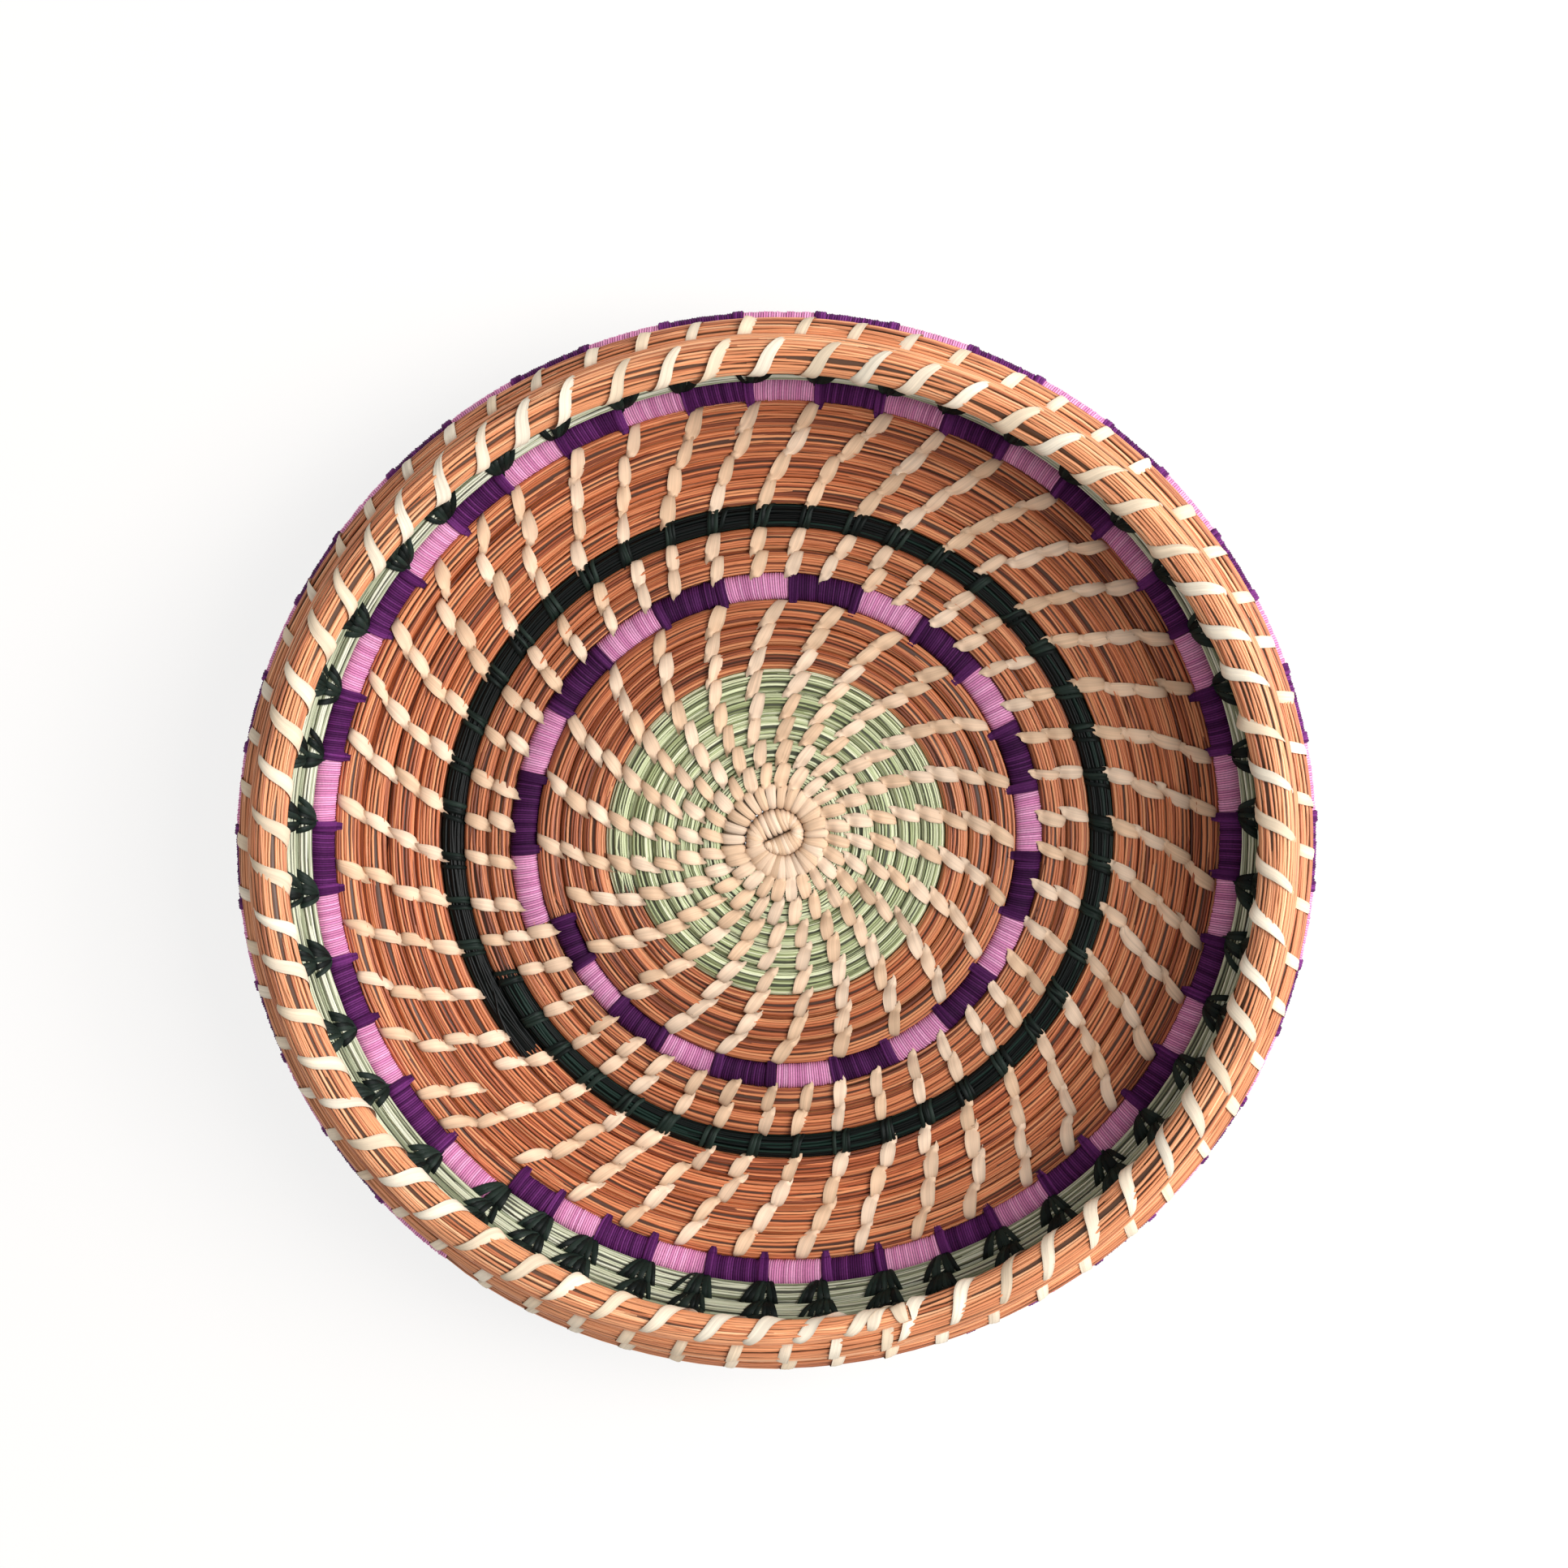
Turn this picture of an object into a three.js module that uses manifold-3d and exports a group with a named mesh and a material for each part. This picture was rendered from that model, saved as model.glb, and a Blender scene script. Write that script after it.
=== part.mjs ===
// A shallow coiled serving basket: one long spiral of needle bundles, with three thread-wrapped rings
// and a lashed rim. Millimetres, +Z up. It stands on its flat floor, and the origin lies under the middle
// of its outline.
import * as THREE from "three";
import { mergeVertices } from "three/addons/utils/BufferGeometryUtils.js";
import Module from "manifold-3d";

const wasm = await Module();
wasm.setup();

// Needle bundles: width along the wall and thickness through it
const FLOOR_BUNDLE = 5.5;
const FLOOR_THICKNESS = 6.4;
const DARK_THICKNESS = 6.2; // thinner, so that no edge dips below the floor where the wall starts to rise
const SLOPE_BUNDLE = 6.5;
const RING_BUNDLE = 6.4;
const SHOULDER_BUNDLE = 4.6;
const SHOULDER_THICKNESS = 5.6;
const RIM_BUNDLE = 8.5;
const RIM_THICKNESS = 9.4;
const FLAT_SHARE = 0.54; // flat top and bottom of a bundle, as a share of its width
const TAPER_TURNS = 0.5; // part of a turn over which a bundle swells or thins
const END_TAPER_TURNS = 0.12; // part of a turn over which the rim thins to its end
const END_SHARE = 0.45; // of the rim's bundle that is left at its end

// How many degrees the wall bends upwards along each stretch, from the flat floor to the leaning rim
const DARK_BEND = 3;
const SLOPE_BEND = 20;
const MIDDLE_RING_BEND = 20;
const SHOULDER_BEND = 25;
const OUTER_RING_BEND = 52;
const RIM_BEND = -5; // the rim stands up again a little

// How many degrees the last turn of a stretch laps over its first
const MIDDLE_LAP = 7;
const DARK_LAP = 15;
const SLOPE_LAP = 10.7;
const RIM_LAP = 54.5;

// The folded start that the spiral winds round: a button whose outline opens out into the first turn
const KNOT_RADIUS = 3.4; // where the first turn begins
const KNOT_EDGE = 0.9; // its rounded edge
const OVAL = 2; // how much the last turn is longer than round along the long axis, and narrower across
const LONG_AXIS = 10; // degrees from +X to the long axis

// The spiral, counter-clockwise from above, in degrees and steps
const START_ANGLE = 200;
const STEPS_PER_TURN = 22;
const SHORTEST_STEP = 0.02; // no two sections of a tube lie closer than this part of a step

// Thread wrapped round the rings
const THREAD_LAYER = 0.6;
const PURPLE_SHARE = 0.53; // of each pair of bands
const INNER_RING_PAIRS = 12;
const OUTER_RING_PAIRS = 22;
const BAND_DRIFT_DEG = 9; // how far the bands run ahead of an even spacing halfway round a ring
const RUN_WIDTH = 0.7; // the strand of one colour carried along under the other
const RUN_THICKNESS = 0.4;
const RUN_INSET = 0.25; // how far inside the first and last bands the strand ends, as a share of a band

// The strap of raffia lashed round the last turn of the rim
const LASHING_WRAPS = 62;
const LASHING_WIDTH = 3;
const LASHING_THICKNESS = 0.5;
const LASHING_CLEARANCE = 0.45; // to the bundle that it is wound round

// Clear gaps
const COIL_GAP = 0.6; // between neighbouring turns
const SEAT_GAP = 0.3; // between pieces that touch
const RIM_GAP = LASHING_THICKNESS + 2 * LASHING_CLEARANCE; // room for the lashing between turns
const LEAST_SELF_GAP = 0.4;

const MATERIALS = {
  raffia: new THREE.MeshStandardMaterial({ color: 0xe8cba6, roughness: 0.7, metalness: 0 }),
  sage: new THREE.MeshStandardMaterial({ color: 0xa3b48c, roughness: 0.6, metalness: 0 }),
  paleSage: new THREE.MeshStandardMaterial({ color: 0xc4c9ac, roughness: 0.6, metalness: 0 }),
  brown: new THREE.MeshStandardMaterial({ color: 0xb56d48, roughness: 0.55, metalness: 0 }),
  darkGreen: new THREE.MeshStandardMaterial({ color: 0x16221f, roughness: 0.45, metalness: 0 }),
  purple: new THREE.MeshStandardMaterial({ color: 0x43205a, roughness: 0.8, metalness: 0 }),
  pink: new THREE.MeshStandardMaterial({ color: 0xc678b6, roughness: 0.8, metalness: 0 }),
};

// Stretches of the spiral from the knot outwards: bundle, bend, whole turns and lap
const FLOOR = { width: FLOOR_BUNDLE, thickness: FLOOR_THICKNESS, gap: COIL_GAP, bend: 0 };
const DARK = { ...FLOOR, thickness: DARK_THICKNESS, bend: DARK_BEND };
const SLOPE = { ...FLOOR, width: SLOPE_BUNDLE, bend: SLOPE_BEND };
const RING = { ...FLOOR, width: RING_BUNDLE, turns: 1, finish: "brown" };
const SHOULDER = { width: SHOULDER_BUNDLE, thickness: SHOULDER_THICKNESS, gap: COIL_GAP };
const RIM = { width: RIM_BUNDLE, thickness: RIM_THICKNESS, gap: RIM_GAP };
const STRETCHES = [
  { ...FLOOR, name: "wrapped_start_coil", turns: 1, finish: "raffia" },
  { ...FLOOR, name: "sage_centre_coil", turns: 5, finish: "sage" },
  { ...FLOOR, name: "brown_floor_coil", turns: 3, finish: "brown" },
  { ...RING, name: "inner_ring", pairs: INNER_RING_PAIRS },
  { ...FLOOR, name: "brown_middle_coil", turns: 2, lap: MIDDLE_LAP, finish: "brown" },
  { ...DARK, name: "dark_green_coil", turns: 1, lap: DARK_LAP, finish: "darkGreen" },
  { ...SLOPE, name: "brown_slope_coil", turns: 4, lap: SLOPE_LAP, finish: "brown" },
  { ...RING, name: "middle_ring", bend: MIDDLE_RING_BEND, pairs: OUTER_RING_PAIRS },
  { ...SHOULDER, name: "sage_shoulder_coil", turns: 4, finish: "paleSage", bend: SHOULDER_BEND },
  { ...RING, name: "outer_ring", bend: OUTER_RING_BEND, pairs: OUTER_RING_PAIRS },
  { ...RIM, name: "brown_rim_coil", turns: 2, lap: RIM_LAP, finish: "brown", bend: RIM_BEND },
];

// Where each stretch starts and ends, in steps along the spiral
let stepsSoFar = 0;
for (const stretch of STRETCHES) {
  stretch.start = stepsSoFar;
  stepsSoFar += (stretch.turns + (stretch.lap ?? 0) / 360) * STEPS_PER_TURN;
  stretch.end = stepsSoFar;
}
const LAST_STEP = Math.ceil(stepsSoFar);

// The stretch that step t of the spiral belongs to.
function stretchAt(t) {
  return STRETCHES.find((stretch) => t < stretch.end) ?? STRETCHES.at(-1);
}

// A bundle's size at step t: it swells or thins from the stretch before it, and the rim thins to its end.
function bundleAt(t, key) {
  const stretch = stretchAt(t);
  const before = STRETCHES[Math.max(0, STRETCHES.indexOf(stretch) - 1)];
  const along = Math.min(1, (t - stretch.start) / (TAPER_TURNS * STEPS_PER_TURN));
  const full = THREE.MathUtils.lerp(before[key], stretch[key], along);
  const left = (stepsSoFar - t) / (END_TAPER_TURNS * STEPS_PER_TURN);
  return full * THREE.MathUtils.lerp(END_SHARE, 1, THREE.MathUtils.clamp(left, 0, 1));
}

// Distance along the wall from the axis at each step: every turn lies one gap outside the turn before it
const reach = [];
for (let i = 0; i <= LAST_STEP; i++) {
  const width = bundleAt(i, "width");
  if (i < STEPS_PER_TURN) {
    const first = KNOT_RADIUS + COIL_GAP + FLOOR_BUNDLE / 2;
    reach.push(first + ((FLOOR_BUNDLE + COIL_GAP) * i) / STEPS_PER_TURN);
  } else {
    const inside = bundleAt(i - STEPS_PER_TURN, "width");
    reach.push(reach[i - STEPS_PER_TURN] + (inside + width) / 2 + stretchAt(i).gap);
  }
}
const reachAt = (t) => {
  const i = Math.min(Math.floor(t), LAST_STEP - 1);
  return THREE.MathUtils.lerp(reach[i], reach[i + 1], t - i);
};

// The wall's section is a chain of arcs, one for each stretch, that starts as the flat floor.
let arcRadius = reach[0];
let arcHeight = FLOOR_THICKNESS / 2;
let arcSlope = 0;
const ARCS = STRETCHES.map((stretch) => {
  const from = reachAt(stretch.start);
  const length = reachAt(stretch.end) - from;
  const curvature = THREE.MathUtils.degToRad(stretch.bend) / length;
  const arc = { from, radius: arcRadius, height: arcHeight, slope: arcSlope, curvature };
  const end = walk(arc, length);
  arcRadius = end.radius;
  arcHeight = end.height;
  arcSlope = end.slope;
  return arc;
});

// The place reached after a length along an arc.
function walk(arc, length) {
  const slope = arc.slope + arc.curvature * length;
  if (arc.curvature === 0) {
    const radius = arc.radius + length * Math.cos(slope);
    return { radius, height: arc.height + length * Math.sin(slope), slope };
  }
  const radius = arc.radius + (Math.sin(slope) - Math.sin(arc.slope)) / arc.curvature;
  const height = arc.height + (Math.cos(arc.slope) - Math.cos(slope)) / arc.curvature;
  return { radius, height, slope };
}

const UP = new THREE.Vector3(0, 0, 1);

// A point of the bundle's section at a whole step: u runs outwards along the wall, v through it inwards.
function sectionPoint(i, u, v) {
  const arc = ARCS.findLast((candidate) => reach[i] >= candidate.from) ?? ARCS[0];
  const place = walk(arc, reach[i] - arc.from);
  const radius = place.radius + u * Math.cos(place.slope) - v * Math.sin(place.slope);
  const height = place.height + u * Math.sin(place.slope) + v * Math.cos(place.slope);
  const turn = THREE.MathUtils.degToRad(LONG_AXIS);
  const angle = THREE.MathUtils.degToRad(START_ANGLE + (360 * i) / STEPS_PER_TURN) - turn;
  const oval = OVAL * (i / LAST_STEP) ** 2; // the turns start round and grow oval towards the rim
  const along = (radius + oval) * Math.cos(angle);
  const across = (radius - oval) * Math.sin(angle);
  return new THREE.Vector3(along, across, height).applyAxisAngle(UP, turn);
}

// The same between steps, where the spiral runs straight from one step to the next.
function spiralPoint(t, u, v) {
  const i = Math.min(Math.floor(t), LAST_STEP - 1);
  return sectionPoint(i, u, v).lerp(sectionPoint(i + 1, u, v), t - i);
}

// The steps at which a piece between t0 and t1 needs a section.
function stations(t0, t1) {
  const between = [];
  for (let i = Math.ceil(t0 + SHORTEST_STEP); i < t1 - SHORTEST_STEP; i++) between.push(i);
  return [t0, ...between, t1];
}

// A six-sided bundle with a flat top and bottom, counter-clockwise in u and v.
function hexagon(width, thickness) {
  const flat = (width * FLAT_SHARE) / 2;
  const half = thickness / 2;
  return [[width / 2, 0], [flat, half], [-flat, half], [-width / 2, 0], [-flat, -half], [flat, -half]];
}

// The bundle at step t, made smaller or larger all round.
const bundleHexagon = (t, grow) =>
  hexagon(bundleAt(t, "width") + 2 * grow, bundleAt(t, "thickness") + 2 * grow);

const ringOf = (t, outline) => outline.map(([u, v]) => spiralPoint(t, u, v));

// A closed geometry from a list of triangles.
function geometryOf(triangles) {
  const geometry = new THREE.BufferGeometry().setFromPoints(triangles.flat());
  return mergeVertices(geometry);
}

// The band of triangles between matching rings of points, its outside to the left of the rings' order.
function skin(rings) {
  const triangles = [];
  for (let i = 0; i + 1 < rings.length; i++) {
    const count = rings[i].length;
    for (let k = 0; k < count; k++) {
      const next = (k + 1) % count;
      triangles.push([rings[i][k], rings[i + 1][k], rings[i + 1][next]]);
      triangles.push([rings[i][k], rings[i + 1][next], rings[i][next]]);
    }
  }
  return triangles;
}

// A solid tube through rings of points, closed at both ends.
function solidTube(rings) {
  const triangles = skin(rings);
  const first = rings[0];
  const last = rings.at(-1);
  for (let k = 1; k + 1 < first.length; k++) {
    triangles.push([first[0], first[k], first[k + 1]]);
    triangles.push([last[0], last[k + 1], last[k]]);
  }
  return geometryOf(triangles);
}

// A sleeve between outer and inner rings of points, with flat ends.
function hollowTube(outer, inner) {
  const mouth = [outer[0], inner[0]];
  const far = [inner.at(-1), outer.at(-1)];
  const turned = inner.map((ring) => [...ring].reverse());
  const ends = [...skin(mouth), ...skin(far)].map(flipped);
  return geometryOf([...skin(outer), ...skin(turned), ...ends]);
}
const flipped = ([a, b, c]) => [a, c, b];

// The least distance between points of a tube that lie at least half a turn apart along it.
function selfGap(rings, stepsApart) {
  let least = Infinity;
  rings.forEach((ring, i) => {
    for (const other of rings.slice(i + stepsApart)) {
      for (const a of ring) for (const b of other) least = Math.min(least, a.distanceTo(b));
    }
  });
  return least;
}

function reportSelfGap(name, rings, stepsApart) {
  const gap = selfGap(rings, stepsApart);
  if (gap === Infinity) return;
  console.log(name + ": least gap to itself " + gap.toFixed(2) + " mm");
  if (gap < LEAST_SELF_GAP) throw new Error(name + " comes too close to itself");
}

// Joins closed geometries into one solid.
function joined(geometries) {
  const solids = geometries.map((geometry) => {
    const vertProperties = geometry.getAttribute("position").array;
    return new wasm.Manifold(
      new wasm.Mesh({ numProp: 3, vertProperties, triVerts: new Uint32Array(geometry.index.array) }),
    );
  });
  const mesh = solids.reduce((whole, solid) => whole.add(solid)).getMesh();
  const geometry = new THREE.BufferGeometry();
  geometry.setAttribute("position", new THREE.BufferAttribute(mesh.vertProperties, 3));
  geometry.setIndex(new THREE.BufferAttribute(mesh.triVerts, 1));
  return geometry;
}

const spiral = new THREE.Group();

function addPiece(name, geometry, finish) {
  const mesh = new THREE.Mesh(geometry, MATERIALS[finish]);
  mesh.name = name;
  spiral.add(mesh);
}

// The start knot: a button that fills the first turn of the spiral, its step facing that turn's cut end.
function startKnot() {
  const outline = new THREE.Shape();
  for (const t of stations(0, STEPS_PER_TURN - endGap(1))) {
    const edge = spiralPoint(t, -bundleAt(t, "width") / 2 - COIL_GAP, 0);
    if (t === 0) outline.moveTo(edge.x, edge.y);
    else outline.lineTo(edge.x, edge.y);
  }
  const geometry = new THREE.ExtrudeGeometry(outline, {
    depth: FLOOR_THICKNESS - 2 * KNOT_EDGE,
    bevelThickness: KNOT_EDGE,
    bevelSize: KNOT_EDGE,
    bevelOffset: -KNOT_EDGE,
    bevelSegments: 1,
  });
  geometry.translate(0, 0, KNOT_EDGE);
  addPiece("start_knot", geometry, "raffia");
}

// The ends of a stretch stand half a seat gap back from its neighbours' ends.
function endGap(t) {
  const stepLength = spiralPoint(Math.floor(t), 0, 0).distanceTo(spiralPoint(Math.floor(t) + 1, 0, 0));
  return SEAT_GAP / 2 / stepLength;
}
const inner = (stretch) => [stretch.start + endGap(stretch.start), stretch.end - endGap(stretch.end - 1)];

// A bundle of needles as one unbroken tube.
function bundle(stretch) {
  const rings = stations(...inner(stretch)).map((t) => ringOf(t, bundleHexagon(t, 0)));
  reportSelfGap(stretch.name, rings, STEPS_PER_TURN / 2);
  addPiece(stretch.name, solidTube(rings), stretch.finish);
}

// A ring's core is the bundle under the thread, with its underside kept clear of the two carried strands.
function ringCore(stretch) {
  const raised = RUN_THICKNESS + SEAT_GAP;
  const rings = stations(...inner(stretch)).map((t) => {
    const bare = bundleHexagon(t, -THREAD_LAYER - SEAT_GAP);
    return ringOf(t, bare.map(([u, v]) => [u, v < 0 ? v + raised : v]));
  });
  addPiece(stretch.name + "_core", solidTube(rings), stretch.finish);
}

// One colour of a ring: its bands round the core, joined by the strand carried along under the other
// colour. side is -1 or 1, the half of the underside on which the strand runs.
function ringThread(stretch, colour, bands, side) {
  const raised = SEAT_GAP + RUN_THICKNESS / 2;
  const bore = (t) => {
    const bare = bundleHexagon(t, -THREAD_LAYER);
    return bare.map(([u, v]) => [u, v < 0 && u * side > 0 ? v + raised : v]);
  };
  const sleeves = bands.map(([t0, t1]) => {
    const steps = stations(t0, t1);
    return hollowTube(
      steps.map((t) => ringOf(t, bundleHexagon(t, 0))),
      steps.map((t) => ringOf(t, bore(t))),
    );
  });
  const runRing = (t) => {
    const low = -bundleAt(t, "thickness") / 2 + THREAD_LAYER + SEAT_GAP;
    const middle = (side * (SEAT_GAP + RUN_WIDTH)) / 2;
    const half = RUN_WIDTH / 2;
    return ringOf(t, [[middle + half, low], [middle, low + RUN_THICKNESS], [middle - half, low]]);
  };
  const inset = (bands[0][1] - bands[0][0]) * RUN_INSET;
  const run = solidTube(stations(bands[0][0] + inset, bands.at(-1)[1] - inset).map(runRing));
  addPiece(stretch.name + "_" + colour + "_thread", joined([...sleeves, run]), colour);
}

// Where an evenly spaced share of a ring really lies: its first bands are sewn closer than its last.
function drifted(share) {
  const swing = Math.sqrt(Math.abs(Math.sin(Math.PI * share)));
  return share - (BAND_DRIFT_DEG / 360) * swing;
}

// A place that lies close to a whole step moves onto it, where the spiral bends.
function settled(t) {
  const whole = Math.round(t);
  return Math.abs(t - whole) < 2 * SHORTEST_STEP ? whole : t;
}

// A thread-wrapped ring: its core and two threads that take turns.
function wrappedRing(stretch) {
  ringCore(stretch);
  const [first, last] = inner(stretch);
  const pairs = Math.round(stretch.pairs); // a ring holds whole pairs of bands
  const pairStart = (n) => settled(THREE.MathUtils.lerp(first, last, drifted(n / pairs)));
  const gap = endGap(first);
  const purple = [];
  const pink = [];
  for (let n = 0; n < pairs; n++) {
    const start = pairStart(n);
    const end = pairStart(n + 1);
    const change = settled(THREE.MathUtils.lerp(start, end, PURPLE_SHARE));
    purple.push([start + gap, change - gap]);
    pink.push([change + gap, end - gap]);
  }
  ringThread(stretch, "purple", purple, -1);
  ringThread(stretch, "pink", pink, 1);
}

// The rim's lashing: a flat strap wound round the last turn of the rim, bending at the bundle's edges.
function rimLashing() {
  const rim = STRETCHES.at(-1);
  const wrap = STEPS_PER_TURN / LASHING_WRAPS;
  const first = rim.end - STEPS_PER_TURN + wrap / 2;
  const edges = bundleHexagon(first, 0).length;
  const stepLength = spiralPoint(LAST_STEP - 1, 0, 0).distanceTo(spiralPoint(LAST_STEP, 0, 0));
  const halfWidth = LASHING_WIDTH / 2 / stepLength;
  const rings = [];
  for (let j = 0; j < (LASHING_WRAPS - 1) * edges; j++) {
    const t = first + (wrap * j) / edges;
    const edge = (grow, at) => spiralPoint(at, ...bundleHexagon(at, grow)[j % edges]);
    const back = edge(LASHING_CLEARANCE, t - halfWidth);
    const front = edge(LASHING_CLEARANCE, t + halfWidth);
    const crown = edge(LASHING_CLEARANCE + LASHING_THICKNESS, t);
    rings.push([front, crown, back]);
  }
  reportSelfGap("rim_lashing", rings, edges);
  addPiece("rim_lashing", solidTube(rings), "raffia");
}

startKnot();
for (const stretch of STRETCHES) {
  if (stretch.pairs) wrappedRing(stretch);
  else bundle(stretch);
}
rimLashing();

// The spiral is a little off centre in its own outline, so it moves to put the middle on the origin.
const outline = new THREE.Box3().setFromObject(spiral);
const middle = outline.getCenter(new THREE.Vector3());
spiral.position.set(-middle.x, -middle.y, 0);

const basket = new THREE.Group();
basket.add(spiral);

export default basket;
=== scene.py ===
"""A coiled serving basket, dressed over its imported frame.

Every surface is a function of two parameters, evaluated as whole arrays on the spiral that the bundles
follow. Sizes are in millimetres until the meshes are made, which are in metres.
"""
import logging
import math
from dataclasses import dataclass
from enum import Enum

import bpy
import numpy as np
from mathutils import Matrix, Vector


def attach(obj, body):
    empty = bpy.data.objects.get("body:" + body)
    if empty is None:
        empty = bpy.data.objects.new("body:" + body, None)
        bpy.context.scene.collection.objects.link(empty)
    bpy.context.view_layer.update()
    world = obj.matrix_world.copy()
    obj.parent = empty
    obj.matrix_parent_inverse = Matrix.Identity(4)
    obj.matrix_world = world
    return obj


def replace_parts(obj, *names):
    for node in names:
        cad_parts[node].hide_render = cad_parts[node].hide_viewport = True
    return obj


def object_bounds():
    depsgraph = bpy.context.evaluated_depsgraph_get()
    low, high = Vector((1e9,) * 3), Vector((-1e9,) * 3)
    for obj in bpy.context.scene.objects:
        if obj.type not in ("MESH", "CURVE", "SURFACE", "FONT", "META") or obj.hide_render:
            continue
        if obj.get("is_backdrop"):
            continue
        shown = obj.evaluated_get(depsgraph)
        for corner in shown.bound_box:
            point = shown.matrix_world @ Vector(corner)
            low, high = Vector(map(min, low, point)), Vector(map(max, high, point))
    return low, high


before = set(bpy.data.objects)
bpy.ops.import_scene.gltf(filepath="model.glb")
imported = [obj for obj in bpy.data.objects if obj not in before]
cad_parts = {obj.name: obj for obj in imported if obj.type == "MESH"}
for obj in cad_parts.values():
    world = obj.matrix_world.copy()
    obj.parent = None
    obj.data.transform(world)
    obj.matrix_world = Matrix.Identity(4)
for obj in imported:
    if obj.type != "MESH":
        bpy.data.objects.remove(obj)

LOG = logging.getLogger("basket")
Array = np.ndarray
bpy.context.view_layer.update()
MM = 0.001
TAU = 2.0 * math.pi

# The spiral and the knot as the CAD model has them, with the start angle in degrees
START_ANGLE = 200.0
LONG_AXIS = math.radians(10.0)
OVAL = 2.0
KNOT_RADIUS = 3.4
COIL_GAP = 0.6
TAPER_TURNS = 0.5
END_TAPER_TURNS = 0.12
END_SHARE = 0.45
AXIS_PLACE = (0.0575, -0.2262)
KNOT_CENTRE = (-0.7, 0.3)
KNOT_AXIS = math.radians(25.0)

# The thread rings, with the drift of their bands in degrees
INNER_PAIRS = 12
OUTER_PAIRS = 22
PURPLE_SHARE = 0.53
BAND_DRIFT = 9.0

# Places in a turn, angles round a bundle, and the power that makes its section squarish
FINE = 132
ROUND = np.linspace(0.0, TAU, 17)
SQUARE = 0.8

# How much lower strips lie on the outside of the wall
OUTSIDE_SINK = 0.15

# What the streaks and patches of all finishes have in common
STREAK_DETAIL = 3.0
STREAK_ROUGHNESS = 0.6
PATCH_SCALE = 90.0
PATCH_DETAIL = 2.0
PATCH_CONTRAST = 0.3
BUMP_STRENGTH = 0.8
COAT_ROUGHNESS = 0.35


def palette(*colours: tuple[int, int, int]) -> Array:
    """Turns colours as the eye reads them into linear light.

    Args:
        *colours: Red, green and blue of each colour, from 0 to 255.

    Returns:
        The linear values from 0 to 1, one row for each colour.
    """
    shown = np.array(colours, dtype=float) / 255.0
    return np.where(shown <= 0.04045, shown / 12.92, ((shown + 0.055) / 1.055) ** 2.4)


def squarish(angle: Array, power: float) -> tuple[Array, Array]:
    """Cosine and sine raised to a power with their signs kept: below 1 a circle becomes squarish.

    Args:
        angle: Angles in radians.
        power: The power.

    Returns:
        The two values.
    """
    cosine, sine = np.cos(angle), np.sin(angle)
    return np.sign(cosine) * np.abs(cosine) ** power, np.sign(sine) * np.abs(sine) ** power


def joined(*parts: Array) -> Array:
    """Puts arrays side by side along a new last axis, each spread to their common shape.

    Args:
        *parts: The arrays.

    Returns:
        The joined array.
    """
    return np.stack(np.broadcast_arrays(*parts), axis=-1)


class Face(Enum):
    """The two faces of the wall, as signs of the way through it."""

    INSIDE = 1.0
    OUTSIDE = -1.0


@dataclass(frozen=True)
class Stretch:
    """One stretch of the spiral.

    Attributes:
        turns: How many turns it takes, where n / 360 is a lap of n degrees.
        width: Width of its bundle along the wall.
        thickness: Thickness of its bundle through the wall.
        gap: Gap to the turn inside it.
        bend: How many degrees the wall bends upwards along it.
    """

    turns: float
    width: float = 5.5
    thickness: float = 6.4
    gap: float = COIL_GAP
    bend: float = 0.0


class Zone(Enum):
    """The stretches of the spiral, from the knot outwards."""

    WRAPPED = Stretch(1.0)
    SAGE = Stretch(5.0)
    BROWN_FLOOR = Stretch(3.0)
    INNER_RING = Stretch(1.0, width=6.4)
    BROWN_MIDDLE = Stretch(2.0 + 7.0 / 360.0)
    DARK = Stretch(1.0 + 15.0 / 360.0, thickness=6.2, bend=3.0)
    SLOPE = Stretch(4.0 + 10.7 / 360.0, width=6.5, bend=20.0)
    MIDDLE_RING = Stretch(1.0, width=6.4, bend=20.0)
    SHOULDER = Stretch(4.0, width=4.6, thickness=5.6, bend=25.0)
    OUTER_RING = Stretch(1.0, width=6.4, bend=52.0)
    RIM = Stretch(2.0 + 54.5 / 360.0, width=8.5, thickness=9.4, gap=1.4, bend=-5.0)


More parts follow.
